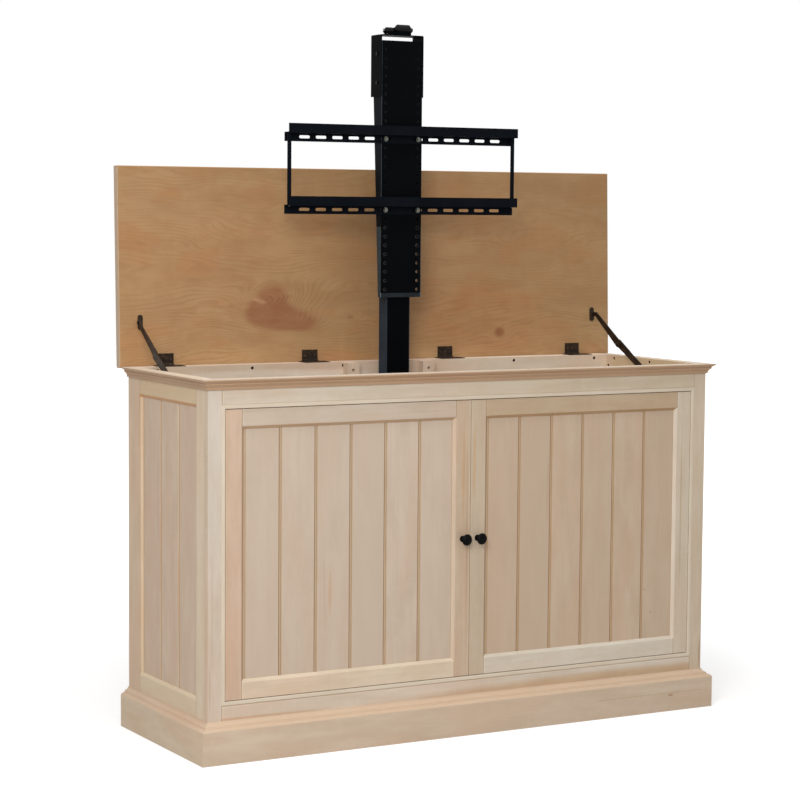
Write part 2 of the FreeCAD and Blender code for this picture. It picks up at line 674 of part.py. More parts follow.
def build_floor():
    back = BACK - BACK_PANEL_THICKNESS
    floor = box(-INNER_RIGHT, INNER_RIGHT, FRAME_BACK, back, FLOOR_TOP - FLOOR_THICKNESS, FLOOR_TOP)
    export("bottom_panel", [floor])
    runner = box(-RUNNER_WIDTH / 2, RUNNER_WIDTH / 2, FRAME_BACK, back, 0, FLOOR_TOP - FLOOR_THICKNESS)
    export("floor_runner", [runner])
    high = CABINET_HEIGHT - CORNER_BLOCK_DROP
    blocks = []
    for y0 in (FRAME_BACK, BACK_RAIL_FRONT - CORNER_BLOCK):
        y1 = y0 + CORNER_BLOCK
        block = box(INNER_RIGHT - CORNER_BLOCK, INNER_RIGHT, y0, y1, high - CORNER_BLOCK_HEIGHT, high)
        blocks += [block, mirrored(block)]
    export("inner_blocks", blocks + batten_blocks())


# ---------------------------------------------------------------- doors
def knob_shape():
    """A mushroom knob turned about Y, with its foot on the plane y = 0 and its head towards -Y."""
    top = Vec(0, -KNOB_PROJECTION, 0)
    rim = Vec(KNOB_RADIUS, KNOB_RIM_DEPTH - KNOB_PROJECTION, 0)
    neck = Vec(KNOB_NECK_RADIUS, KNOB_HEAD_DEPTH + KNOB_UNDERCUT - KNOB_PROJECTION, 0)
    shoulder = Vec(KNOB_FOOT_RADIUS, -KNOB_FOOT_HEIGHT, 0)
    foot = Vec(KNOB_FOOT_RADIUS, 0, 0)
    centre = Vec(0, 0, 0)
    up = Vec(0, 0, 1)
    edges = [line(centre, top), bulged(top, rim, KNOB_CROWN_BULGE, up),
             bulged(rim, neck, KNOB_FLARE_BULGE, up), bulged(neck, shoulder, -KNOB_NECK_BULGE, up),
             line(shoulder, foot), line(foot, centre)]
    return Part.Face(Part.Wire(edges)).revolve(centre, Vec(0, 1, 0), 360)


def hinge_heights():
    return (DOOR_LOW + CUP_END_DISTANCE, DOOR_HIGH - CUP_END_DISTANCE)


def hinge_cup(x, z):
    """The pressed cup of a concealed hinge, let into the door's back, and the bore it sits in."""
    bottom = Vec(x, DOOR_BACK - CUP_DEPTH, z)
    face = Vec(x, DOOR_BACK, z)
    rim = Vec(x, DOOR_BACK + CUP_FLANGE, z)
    bore = cylinder(CUP_RADIUS, bottom, face)
    flange = cylinder(CUP_RADIUS + CUP_FLANGE_RIM, face, rim)
    hollow = cylinder(CUP_RADIUS - CUP_WALL, bottom + Vec(0, CUP_FLOOR, 0), rim)
    return bore.fuse(flange).cut(hollow), bore


def strike_place():
    """The middle of the catch's strike plate on the back of the right door."""
    return DOOR_GAP / 2 + STRIKE_EDGE_DISTANCE, DOOR_HIGH - STRIKE_EDGE_DISTANCE


def right_door():
    """The right door's nodes, as lists of solids."""
    x_meeting = DOOR_GAP / 2
    members, boards = framed_panel(DOOR_WIDTH, DOOR_LOW, DOOR_HIGH, (DOOR_STILE, DOOR_STILE),
                                   (DOOR_BOTTOM_RAIL, DOOR_TOP_RAIL), DOOR_FRONT, DOOR_THICKNESS, DOOR_BOARDS)
    for shape in list(members.values()) + boards:
        shape.translate(Vec(x_meeting, 0, 0))
    cups = []
    outer_stile = members["stile_last"]
    for z in hinge_heights():
        cup, bore = hinge_cup(x_meeting + DOOR_WIDTH - CUP_EDGE_DISTANCE, z)
        outer_stile = outer_stile.cut(bore)
        cups.append(cup)
    x_knob = x_meeting + DOOR_STILE / 2
    knob = knob_shape()
    knob.translate(Vec(x_knob, DOOR_FRONT, DOOR_MIDDLE))
    screw_tip = Vec(x_knob, DOOR_FRONT - KNOB_PROJECTION / 2, DOOR_MIDDLE)
    screw_seat = Vec(x_knob, DOOR_BACK, DOOR_MIDDLE)
    shank = cylinder(KNOB_BORE, screw_tip, screw_seat)
    screw_head = cylinder(KNOB_SCREW_HEAD_RADIUS, screw_seat, screw_seat + Vec(0, KNOB_SCREW_HEAD_HEIGHT, 0))
    x_strike, z_strike = strike_place()
    strike_seat = Vec(x_strike, DOOR_BACK, z_strike)
    strike = cylinder(STRIKE_RADIUS, strike_seat, strike_seat + Vec(0, STRIKE_THICKNESS, 0))
    return {
        "door_outer_stile": [outer_stile],
        "door_meeting_stile": [members["stile_first"].cut(shank)],
        "door_rails": [members["rail_bottom"], members["rail_top"]],
        "door_boards": boards,
        "door_knob": [knob.cut(shank)],
        "door_fittings": cups + [strike, shank.fuse(screw_head)],
    }


def build_doors():
    """Both doors: the left one is the right one mirrored, but for its boards, which all face one way."""
    nodes = right_door()
    for name, shapes in nodes.items():
        export("right_" + name, shapes)
        if name != "door_boards":
            export("left_" + name, [mirrored(shape) for shape in shapes])
    boards = [board.translated(Vec(-DOOR_WIDTH - DOOR_GAP, 0, 0)) for board in nodes["door_boards"]]
    export("left_door_boards", boards)


def build_door_hardware():
    """Hinge arms on the back of the face frame and magnetic catches above the meeting stiles."""
    x_cup = DOOR_GAP / 2 + DOOR_WIDTH - CUP_EDGE_DISTANCE
    arm_front = DOOR_BACK + CUP_FLANGE + CUP_CLEARANCE
    arms = []
    for z in hinge_heights():
        plate = box(OPENING_RIGHT + HINGE_PLATE_MARGIN, INNER_RIGHT - HINGE_PLATE_MARGIN,
                    FRAME_BACK, FRAME_BACK + HINGE_PLATE_THICKNESS,
                    z - HINGE_PLATE_HEIGHT / 2, z + HINGE_PLATE_HEIGHT / 2)
        arm = box(x_cup, INNER_RIGHT - HINGE_ARM_END, arm_front, arm_front + HINGE_ARM_THICKNESS,
                  z - HINGE_ARM_WIDTH / 2, z + HINGE_ARM_WIDTH / 2)
        frame = box(OPENING_RIGHT, INNER_RIGHT, FRONT, FRAME_BACK,
                    z - HINGE_PLATE_HEIGHT, z + HINGE_PLATE_HEIGHT)
        hinge = plate.fuse(arm.cut(frame))
        arms += [hinge, mirrored(hinge)]
    export("door_hinge_arms", arms)
    x_strike, z_strike = strike_place()
    front = DOOR_BACK + STRIKE_THICKNESS + CATCH_CLEARANCE
    back = front + CATCH_DEPTH
    top = OPENING_TOP + CATCH_HEIGHT
    magnet = centred_box(x_strike, CATCH_WIDTH / 2, front, back, z_strike - CATCH_HEIGHT / 2, top)
    foot = centred_box(x_strike, CATCH_WIDTH / 2, FRAME_BACK, back, OPENING_TOP + CATCH_MARGIN, top)
    catch = magnet.fuse(foot).removeSplitter()
    export("magnetic_catches", [catch, mirrored(catch)])


# ---------------------------------------------------------------- lid
def leaned(shape):
    """Turns a lid piece from upright to its open rest, a little past upright."""
    return turned(shape, -LID_LEAN_DEG, HINGE_AXIS_Y, HINGE_AXIS_Z)


def barrel(x0, x1, radius):
    """A round piece on the lid's hinge line."""
    return cylinder(radius, Vec(x0, HINGE_AXIS_Y, HINGE_AXIS_Z), Vec(x1, HINGE_AXIS_Y, HINGE_AXIS_Z))


def lid_hinge_places():
    """The hinges' middles, evenly spaced along the back rail."""
    last = RIGHT - HINGE_END_DISTANCE
    return [-last + 2 * last * i / (HINGE_COUNT - 1) for i in range(HINGE_COUNT)]


def build_lid():
    """The lid's panel, with a notch around each hinge's knuckles that is open below."""
    half = LID_WIDTH / 2
    panel = box(-half, half, LID_FACE_Y, LID_FACE_Y + LID_THICKNESS, LID_BOTTOM_Z, LID_BOTTOM_Z + LID_LENGTH)
    panel = panel.makeFillet(LID_EDGE_ROUNDING, panel.Edges)
    reach = HINGE_LENGTH / 2 + NOTCH_MARGIN
    notch_radius = HINGE_KNUCKLE_RADIUS + KNUCKLE_CLEARANCE
    for x in lid_hinge_places():
        panel = panel.cut(barrel(x - reach, x + reach, notch_radius))
        panel = panel.cut(centred_box(x, reach, LID_FACE_Y - CUT_OVERRUN, HINGE_AXIS_Y + notch_radius,
                                      LID_BOTTOM_Z - CUT_OVERRUN, HINGE_AXIS_Z))
    export("lid_panel", [leaned(panel)])


def screw_heads(seats, rise):
    """Low round screw heads that stand off their seats by a vector."""
    return [cylinder(LEAF_SCREW_RADIUS, seat, seat + rise) for seat in seats]


def lid_leaf(x):
    """A hinge's leaf on the lid with its middle knuckle and three screws, drawn upright and then leaned."""
    half_knuckle = HINGE_LENGTH / 6 - KNUCKLE_GAP
    front = LID_FACE_Y - HINGE_LEAF_THICKNESS
    clear_z = HINGE_AXIS_Z + HINGE_KNUCKLE_RADIUS + KNUCKLE_CLEARANCE
    top = HINGE_AXIS_Z + HINGE_LID_LEAF_HEIGHT
    leaf = centred_box(x, HINGE_LENGTH / 2, front, LID_FACE_Y, clear_z, top)
    tongue = centred_box(x, half_knuckle, front, LID_FACE_Y, HINGE_AXIS_Z, clear_z)
    knuckle = barrel(x - half_knuckle, x + half_knuckle, HINGE_KNUCKLE_RADIUS)
    bore = barrel(x - half_knuckle, x + half_knuckle, HINGE_PIN_RADIUS + HINGE_PIN_CLEARANCE)
    reach = HINGE_LENGTH / 2 - LEAF_SCREW_EDGE
    high = top - LEAF_SCREW_EDGE
    seats = [Vec(x - reach, front, high), Vec(x, front, high - LEAF_SCREW_DROP), Vec(x + reach, front, high)]
    pieces = [leaf.fuse(tongue).fuse(knuckle).cut(bore).removeSplitter()]
    pieces += screw_heads(seats, Vec(0, -LEAF_SCREW_RISE, 0))
    return [leaned(piece) for piece in pieces]


def rail_leaf(x):
    """A hinge's wide leaf on the back rail with the two outer knuckles, the pin and four screws."""
    inner = HINGE_LENGTH / 6 + KNUCKLE_GAP
    outer = HINGE_LENGTH / 2
    top = CABINET_HEIGHT + HINGE_LEAF_THICKNESS
    front = BACK - HINGE_RAIL_LEAF_DEPTH
    leaf = centred_box(x, HINGE_RAIL_LEAF_WIDTH / 2, front, BACK, CABINET_HEIGHT, top)
    for near, far in ((x - outer, x - inner), (x + inner, x + outer)):
        leaf = leaf.fuse(box(near, far, BACK, HINGE_AXIS_Y, CABINET_HEIGHT, top))
        leaf = leaf.fuse(barrel(near, far, HINGE_KNUCKLE_RADIUS))
    leaf = leaf.fuse(barrel(x - outer, x + outer, HINGE_PIN_RADIUS)).removeSplitter()
    reach = HINGE_RAIL_LEAF_WIDTH / 2 - LEAF_SCREW_EDGE
    near_y = front + LEAF_SCREW_EDGE
    seats = [Vec(x + sx, y, top) for sx in (-reach, reach) for y in (near_y, near_y + LEAF_SCREW_SPACING)]
    return [leaf] + screw_heads(seats, Vec(0, 0, LEAF_SCREW_RISE))


def build_lid_hinges():
    lid_leaves = []
    rail_leaves = []
    for x in lid_hinge_places():
        lid_leaves += lid_leaf(x)
        rail_leaves += rail_leaf(x)
    export("lid_hinge_leaves", lid_leaves)
    export("rail_hinge_leaves", rail_leaves)


# ---------------------------------------------------------------- lid stays
def stay_points():
    """The stay's three pivots in the YZ plane: on the lid, at the elbow and on the side."""
    lean = math.radians(LID_LEAN_DEG)
    along = STAY_LID_DISTANCE
    ahead = STAY_LID_OFFSET - (LID_FACE_Y - HINGE_AXIS_Y)
    lid_y = HINGE_AXIS_Y + along * math.sin(lean) - ahead * math.cos(lean)
    lid_z = HINGE_AXIS_Z + along * math.cos(lean) + ahead * math.sin(lean)
    foot_y = HINGE_AXIS_Y - STAY_FOOT_FROM_HINGE
    foot_z = CABINET_HEIGHT - STAY_FOOT_DROP
    span = math.hypot(lid_y - foot_y, lid_z - foot_z)
    sag = math.sqrt(STAY_ARM_LENGTH ** 2 - (span / 2) ** 2)
    elbow_y = (lid_y + foot_y) / 2 + sag * (lid_z - foot_z) / span
    elbow_z = (lid_z + foot_z) / 2 - sag * (lid_y - foot_y) / span
    return (lid_y, lid_z), (elbow_y, elbow_z), (foot_y, foot_z)


def stay_arm(x, start, end, start_width, end_width):
    """A flat tapered bar with rounded ends in a YZ plane, from x to x plus its thickness."""
    y0, z0 = start
    y1, z1 = end
    length = math.hypot(y1 - y0, z1 - z0)
    uy, uz = (y1 - y0) / length, (z1 - z0) / length
    r0 = start_width / 2
    r1 = end_width / 2
    corners = [Vec(x, y0 - uz * r0, z0 + uy * r0), Vec(x, y1 - uz * r1, z1 + uy * r1),
               Vec(x, y1 + uz * r1, z1 - uy * r1), Vec(x, y0 + uz * r0, z0 - uy * r0)]
    tip0 = Vec(x, y0 - uy * r0, z0 - uz * r0)
    tip1 = Vec(x, y1 + uy * r1, z1 + uz * r1)
    edges = [line(corners[0], corners[1]), arc(corners[1], tip1, corners[2]),
             line(corners[2], corners[3]), arc(corners[3], tip0, corners[0])]
    return Part.Face(Part.Wire(edges)).extrude(Vec(STAY_ARM_THICKNESS, 0, 0))


def stay_side_fitting(plate_x, arm_x, foot):
    """A plate on the cabinet's side with the pin and head that carry the lower arm."""
    y, z = foot
    half = STAY_PLATE_WIDTH / 2
    reach = STAY_PLATE_LENGTH / 2
    head_x = arm_x - STAY_HEAD_CLEARANCE
    plate = box(plate_x, INNER_RIGHT, y - reach, y + reach, z - half, z + half)
    pin = cylinder(STAY_PIN_RADIUS, Vec(plate_x, y, z), Vec(head_x, y, z))
    head = cylinder(STAY_RIVET_RADIUS, Vec(head_x, y, z), Vec(head_x - STAY_RIVET_RISE, y, z))
    return plate.fuse(pin).fuse(head)


def bored_arm(x, start, end, tip_width):
    """An arm of the stay, widest at the elbow and bored for the pin at its tip."""
    arm = stay_arm(x, start, end, tip_width, STAY_ELBOW_WIDTH)
    radius = STAY_PIN_RADIUS + STAY_PIN_CLEARANCE
    return arm.cut(cylinder(radius, Vec(x - CUT_OVERRUN, *start), Vec(INNER_RIGHT, *start)))


def build_stays():
    """A folding two-bar stay at each end of the lid. The right one is drawn and the left one mirrors it."""
    lid_pivot, elbow, foot = stay_points()
    plate_x = INNER_RIGHT - STAY_PLATE_THICKNESS
    lower_x = plate_x - STAY_GAP - STAY_ARM_THICKNESS
    upper_x = lower_x - STAY_GAP - STAY_ARM_THICKNESS
    lower = bored_arm(lower_x, foot, elbow, STAY_LOWER_TIP_WIDTH)
    rivet = cylinder(STAY_RIVET_RADIUS, Vec(upper_x, *elbow), Vec(upper_x - STAY_RIVET_RISE, *elbow))
    upper = bored_arm(upper_x, lid_pivot, elbow, STAY_UPPER_TIP_WIDTH).fuse(rivet)
    side_fitting = stay_side_fitting(plate_x, lower_x, foot)
    lid_fitting = stay_lid_fitting(upper_x)
    export("right_stay_lower_arm", [lower])
    export("left_stay_lower_arm", [mirrored(lower)])
    export("right_stay_upper_arm", [upper])
    export("left_stay_upper_arm", [mirrored(upper)])
    export("stay_side_plates", [side_fitting, mirrored(side_fitting)])
    export("stay_lid_plates", [lid_fitting, mirrored(lid_fitting)])


def stay_lid_fitting(upper_x):
    """An oval plate on the lid with a lug that carries the upper arm's pin, drawn upright and then leaned."""
    pivot_y = LID_FACE_Y - STAY_LID_OFFSET
    pivot_z = HINGE_AXIS_Z + STAY_LID_DISTANCE
    half = STAY_PLATE_WIDTH / 2
    reach = STAY_PLATE_LENGTH / 2 - half
    lug_x = upper_x - STAY_GAP - STAY_PLATE_THICKNESS
    lug_end = lug_x + STAY_PLATE_THICKNESS
    plate_x = lug_end - half
    front = LID_FACE_Y - STAY_PLATE_THICKNESS
    plate = centred_box(plate_x, half, front, LID_FACE_Y, pivot_z - reach, pivot_z + reach)
    for z in (pivot_z - reach, pivot_z + reach):
        plate = plate.fuse(cylinder(half, Vec(plate_x, front, z), Vec(plate_x, LID_FACE_Y, z)))
    lug_half = STAY_PIN_RADIUS + STAY_LUG_MARGIN
    lug = box(lug_x, lug_end, pivot_y, front, pivot_z - lug_half, pivot_z + lug_half)
    lug = lug.fuse(cylinder(lug_half, Vec(lug_x, pivot_y, pivot_z), Vec(lug_end, pivot_y, pivot_z)))
    head_x = upper_x + STAY_ARM_THICKNESS + STAY_HEAD_CLEARANCE
    seat = Vec(head_x, pivot_y, pivot_z)
    pin = cylinder(STAY_PIN_RADIUS, Vec(lug_x, pivot_y, pivot_z), seat)
    head = cylinder(STAY_RIVET_RADIUS, seat, seat + Vec(STAY_RIVET_RISE, 0, 0))
    return leaned(plate.fuse(lug).fuse(pin).fuse(head).removeSplitter())


# ---------------------------------------------------------------- lift: fixed parts
def build_lift_base():
    """The lift's floor plate, its fixed outer column and its motor."""
    column_front = COLUMN_CENTRE_Y - OUTER_DEPTH / 2
    column_back = COLUMN_CENTRE_Y + OUTER_DEPTH / 2
    front = column_front - BASE_FRONT_MARGIN
    foot = centred_box(0, BASE_HALF_WIDTH, front, column_back + BASE_BACK_MARGIN, FLOOR_TOP, BASE_TOP)
    shelf_end = MOTOR_CENTRE_X + MOTOR_RADIUS + BASE_SHELF_MARGIN
    shelf = box(BASE_HALF_WIDTH, shelf_end, front, column_front + MOTOR_RADIUS, FLOOR_TOP, BASE_TOP)
    export("lift_base", [foot.fuse(shelf).removeSplitter()])
    export("lift_outer_column", [centred_tube(OUTER_WIDTH, OUTER_DEPTH, OUTER_WALL, BASE_TOP, OUTER_TOP)])
    glide_high = OUTER_TOP - GLIDE_TOP_DROP
    glide = centred_tube(OUTER_WIDTH - 2 * OUTER_WALL, OUTER_DEPTH - 2 * OUTER_WALL, GLIDE_THICKNESS,
                         glide_high - GLIDE_HEIGHT, glide_high)
    export("lift_outer_glide", [glide])
    centre = Vec(MOTOR_CENTRE_X, column_front - MOTOR_FORWARD, BASE_TOP)
    body = cylinder(MOTOR_RADIUS, centre, centre + Vec(0, 0, MOTOR_HEIGHT))
    collar = cylinder(MOTOR_RADIUS + MOTOR_COLLAR, centre, centre + Vec(0, 0, MOTOR_COLLAR_HEIGHT))
    case_front = column_front + GEAR_CASE_SETBACK
    gear_case = box(OUTER_WIDTH / 2, MOTOR_CENTRE_X, case_front, case_front + GEAR_CASE_DEPTH,
                    BASE_TOP, BASE_TOP + MOTOR_COLLAR_HEIGHT)
    export("lift_motor", [body.fuse(collar).fuse(gear_case).removeSplitter()])
    box_back = COLUMN_CENTRE_Y
    case = centred_box(CONTROL_BOX_CENTRE_X, CONTROL_BOX_WIDTH / 2, box_back - CONTROL_BOX_DEPTH, box_back,
                       FLOOR_TOP, FLOOR_TOP + CONTROL_BOX_HEIGHT)
    upright = [edge for edge in case.Edges if abs(edge.tangentAt(0).z) > 0.9]
    export("lift_control_box", [case.makeFillet(CONTROL_BOX_ROUNDING, upright)])
    build_inlet()


def build_inlet():
    """A mains inlet socket let into the back panel, with three blades in its cavity."""
    x = INLET_CENTRE_X
    z = INLET_CENTRE_Z
    half_w = INLET_WIDTH / 2
    half_h = INLET_HEIGHT / 2
    front = BACK - INLET_DEPTH
    back = BACK + INLET_RIM_THICKNESS
    cavity_front = front + INLET_FLOOR
    body = centred_box(x, half_w, front, BACK, z - half_h, z + half_h)
    rim = centred_box(x, half_w + INLET_RIM, BACK, back, z - half_h - INLET_RIM, z + half_h + INLET_RIM)
    cavity = centred_box(x, half_w - INLET_WALL, cavity_front, back,
                         z - half_h + INLET_WALL, z + half_h - INLET_WALL)
    inlet = body.fuse(rim).cut(cavity)
    half_blade = INLET_BLADE_HEIGHT / 2
    for step in (-1, 0, 1):
        blade_x = x + step * INLET_BLADE_SPACING
        inlet = inlet.fuse(centred_box(blade_x, INLET_BLADE_WIDTH / 2, front, BACK - INLET_BLADE_RECESS,
                                       z - half_blade, z + half_blade))
    export("power_inlet", [inlet.removeSplitter()])


# ---------------------------------------------------------------- lift: moving parts
def hole_rows():
    return [LIFT_PLATE_BOTTOM + HOLE_FIRST + row * HOLE_PITCH for row in range(HOLE_ROWS)]


def build_stages():
    """The two sliding columns and the glide between them."""
    middle = centred_tube(MIDDLE_WIDTH, MIDDLE_DEPTH, MIDDLE_WALL, MIDDLE_BOTTOM, MIDDLE_TOP)
    export("lift_middle_column", [middle])
    glide_high = MIDDLE_TOP - GLIDE_TOP_DROP
    glide = centred_tube(MIDDLE_WIDTH - 2 * MIDDLE_WALL, MIDDLE_DEPTH - 2 * MIDDLE_WALL,
                         GLIDE_THICKNESS - GLIDE_CLEARANCE, glide_high - GLIDE_HEIGHT, glide_high)
    export("lift_middle_glide", [glide])
    export("lift_inner_column", [centred_tube(INNER_WIDTH, INNER_DEPTH, INNER_WALL, INNER_BOTTOM, INNER_TOP)])


def plate_flange(x):
    """A side flange of the hanging channel, from x to x plus its thickness, that tapers downwards."""
    deep = PLATE_FRONT + LIFT_FLANGE_TOP_DEPTH
    shallow = PLATE_FRONT + LIFT_FLANGE_BOTTOM_DEPTH
    outline = [Vec(x, PLATE_FRONT, LIFT_PLATE_BOTTOM), Vec(x, shallow, LIFT_PLATE_BOTTOM),
               Vec(x, deep, HEAD_BOTTOM), Vec(x, deep, LIFT_PLATE_TOP), Vec(x, PLATE_FRONT, LIFT_PLATE_TOP)]
    return prism(outline, Vec(LIFT_PLATE_THICKNESS, 0, 0))


def build_mount_plate():
    """The hanging channel: a front plate with two hole columns, side flanges and a hem at its foot."""
    half = LIFT_PLATE_WIDTH / 2
    plate = centred_box(0, half, PLATE_FRONT, PLATE_BACK, LIFT_PLATE_BOTTOM, LIFT_PLATE_TOP)
    for x in (-half, half - LIFT_PLATE_THICKNESS):
        plate = plate.fuse(plate_flange(x))
    hem_top = LIFT_PLATE_BOTTOM + HEM_HEIGHT
    hem = centred_box(0, half, PLATE_FRONT - HEM_THICKNESS, PLATE_FRONT, LIFT_PLATE_BOTTOM, hem_top)
    plate = plate.fuse(hem).removeSplitter()
    front = PLATE_FRONT - CUT_OVERRUN
    back = PLATE_BACK + CUT_OVERRUN
    holes = [cylinder(HOLE_RADIUS, Vec(x, front, z), Vec(x, back, z))
             for z in hole_rows() for x in (-HOLE_COLUMN, HOLE_COLUMN)]
    export("lift_mount_plate", [plate.cut(Part.makeCompound(holes))])


def build_head():
    """The head: an inverted U over the column, with the cap plate that ties it to the inner column."""
    inside = LIFT_PLATE_WIDTH / 2
    outside = inside + HEAD_THICKNESS
    back = HEAD_FRONT + HEAD_DEPTH
    head = centred_box(0, outside, HEAD_FRONT, back, HEAD_TOP - HEAD_THICKNESS, HEAD_TOP)
    for x in (-outside, inside):
        head = head.fuse(box(x, x + HEAD_THICKNESS, HEAD_FRONT, back, HEAD_BOTTOM, HEAD_TOP))
    head = head.removeSplitter()
    corners = [edge for edge in head.Edges
               if abs(edge.tangentAt(0).y) > 0.9 and edge.CenterOfMass.z > HEAD_TOP - HEAD_THICKNESS / 2]
    head = head.makeFillet(HEAD_ROUNDING, corners)
    cap_half_width = inside - LIFT_PLATE_THICKNESS
    cap = centred_box(0, cap_half_width, PLATE_BACK, back, INNER_TOP, INNER_TOP + CAP_THICKNESS)
    export("lift_head", [head, cap])


def bar_shape(hole_z):
    """A stepped steel rail: a slotted flange on the plate and a band that stands forward above it."""
    half = BAR_LENGTH / 2
    back = PLATE_FRONT
    front = back - BAR_THICKNESS
    band_front = front - BAR_STEP
    low = hole_z - BAR_FLANGE / 2
    step = hole_z + BAR_FLANGE / 2
    high = step + BAR_BAND
    band_back = band_front + BAR_THICKNESS
    under = step - BAR_THICKNESS
    section = [(back, low), (front, low), (front, under), (band_front, under),
               (band_front, high), (band_back, high), (band_back, step), (back, step)]
    bar = prism([Vec(-half, y, z) for y, z in section], Vec(BAR_LENGTH, 0, 0))
    slots = []
    for k in range(-SLOT_COUNT, SLOT_COUNT + 1):
        if k != 0:
            slots.append(slot_cutter(k * SLOT_PITCH, hole_z, front, back))
    return bar.cut(Part.makeCompound(slots))


def slot_cutter(x, z, front, back):
    """A round-ended slot through the flange."""
    r = SLOT_WIDTH / 2
    reach = SLOT_LENGTH / 2 - r
    start = front - CUT_OVERRUN
    end = back + CUT_OVERRUN
    cutter = centred_box(x, reach, start, end, z - r, z + r)
    for middle in (x - reach, x + reach):
        cutter = cutter.fuse(cylinder(r, Vec(middle, start, z), Vec(middle, end, z)))
    return cutter


def bar_bolt(x, z):
    """A bolt with a washer that holds a bar on the plate, and its nut behind."""
    seat = Vec(x, PLATE_FRONT - BAR_THICKNESS, z)
    behind = Vec(x, PLATE_BACK, z)
    washer_face = seat - Vec(0, WASHER_THICKNESS, 0)
    washer = cylinder(WASHER_RADIUS, seat, washer_face)
    head = cylinder(BOLT_HEAD_RADIUS, seat, washer_face - Vec(0, BOLT_HEAD_HEIGHT, 0))
    shank = cylinder(HOLE_RADIUS, seat, behind)
    nut = cylinder(BOLT_HEAD_RADIUS, behind, behind + Vec(0, BOLT_NUT_HEIGHT, 0))
    return washer.fuse(head).fuse(shank).fuse(nut).removeSplitter()


def build_bars():
    """The two television bars, the straps that join their ends, and the lift's bolts and screws."""
    export("tv_bar_lower", [bar_shape(BAR_LOWER_Z)])
    export("tv_bar_upper", [bar_shape(BAR_UPPER_Z)])
    strap_end = BAR_LENGTH / 2 - STRAP_INSET
    strap_front = PLATE_FRONT - (BAR_STEP + STRAP_THICKNESS) / 2
    strap = box(strap_end - STRAP_WIDTH, strap_end, strap_front, strap_front + STRAP_THICKNESS,
                BAR_LOWER_Z + BAR_FLANGE / 2, BAR_UPPER_Z + BAR_FLANGE / 2 - BAR_THICKNESS)
    export("tv_bar_straps", [strap, mirrored(strap)])
    bolts = [bar_bolt(x, z) for z in (BAR_LOWER_Z, BAR_UPPER_Z) for x in (-HOLE_COLUMN, HOLE_COLUMN)]
    x = LIFT_PLATE_WIDTH / 2 + HEAD_THICKNESS
    y = PLATE_FRONT + LIFT_FLANGE_TOP_DEPTH / 2
    first = HEAD_BOTTOM + HEAD_SCREW_FIRST
    for z in (first, first + HEAD_SCREW_SPACING):
        screw = cylinder(HEAD_SCREW_RADIUS, Vec(x, y, z), Vec(x + HEAD_SCREW_RISE, y, z))
        bolts += [screw, mirrored(screw)]
    export("lift_bolts", bolts)


def roller(x0, x1, y, z, radius, chamfer):
    """A roller with steeply chamfered rims and a bore for its axle."""
    body = cylinder(radius, Vec(x0, y, z), Vec(x1, y, z))
    rims = [edge for edge in body.Edges if edge.Curve.TypeId == "Part::GeomCircle"]
    body = body.makeChamfer(chamfer, rims)
    return body.cut(cylinder(ROLLER_AXLE_RADIUS + ROLLER_CLEARANCE, Vec(x0, y, z), Vec(x1, y, z)))


def roller_ear(x, z, foot, y, half, floor_z):
    """A strip that rises from the bracket's floor at foot to the axle at x, z, leaning if they differ."""
    shoulder = z - half
    face = [Vec(foot, y - half, HEAD_TOP), Vec(foot + ROLLER_EAR, y - half, HEAD_TOP),
            Vec(foot + ROLLER_EAR, y - half, floor_z), Vec(x + ROLLER_EAR, y - half, shoulder),
            Vec(x + ROLLER_EAR, y - half, z), Vec(x, y - half, z), Vec(x, y - half, shoulder),
            Vec(foot, y - half, floor_z)]
    return prism(face, Vec(0, 2 * half, 0))


def build_rollers():
    """The lid pusher: a bracket on the head with a large and a small roller."""
    floor_z = HEAD_TOP + ROLLER_EAR
    y = HEAD_FRONT + HEAD_DEPTH / 2
    z_large = floor_z + ROLLER_FLOOR_GAP + ROLLER_RADIUS
    z_small = floor_z + ROLLER_FLOOR_GAP + SMALL_ROLLER_RADIUS
    large_0 = ROLLER_CENTRE_X - ROLLER_LENGTH / 2
    large_1 = ROLLER_CENTRE_X + ROLLER_LENGTH / 2
    small_1 = large_0 - 2 * ROLLER_SIDE_GAP - ROLLER_EAR
    small_0 = small_1 - SMALL_ROLLER_LENGTH
    first = small_0 - ROLLER_SIDE_GAP - ROLLER_EAR
    middle = small_1 + ROLLER_SIDE_GAP
    last = large_1 + ROLLER_SIDE_GAP
    ear_half = ROLLER_AXLE_RADIUS + ROLLER_EAR_MARGIN
    foot_0 = first + z_small - ear_half - floor_z
    foot_1 = last + ROLLER_EAR - (z_large - ear_half - floor_z)
    bracket = box(foot_0, foot_1, y - ROLLER_RADIUS, y + ROLLER_RADIUS, HEAD_TOP, floor_z)
    lip_back = y - ROLLER_RADIUS + ROLLER_LIP
    lip_top = floor_z + ROLLER_LIP_HEIGHT
    bracket = bracket.fuse(box(foot_0, foot_1, y - ROLLER_RADIUS, lip_back, floor_z, lip_top))
    last_foot = foot_1 - ROLLER_EAR
    for x, z, foot in ((first, z_small, foot_0), (middle, z_large, middle), (last, z_large, last_foot)):
        bracket = bracket.fuse(roller_ear(x, z, foot, y, ear_half, floor_z))
        bracket = bracket.fuse(cylinder(ear_half, Vec(x, y, z), Vec(x + ROLLER_EAR, y, z)))
    for start, end, z in ((middle, last, z_large), (first, middle, z_small)):
        bracket = bracket.fuse(cylinder(ROLLER_AXLE_RADIUS, Vec(start, y, z), Vec(end + ROLLER_EAR, y, z)))
    export("lid_roller_bracket", [bracket.removeSplitter()])
    large = roller(large_0, large_1, y, z_large, ROLLER_RADIUS, ROLLER_CHAMFER)
    small = roller(small_0, small_1, y, z_small, SMALL_ROLLER_RADIUS, SMALL_ROLLER_CHAMFER)
    export("lid_roller", [large])
    export("lid_small_roller", [small])


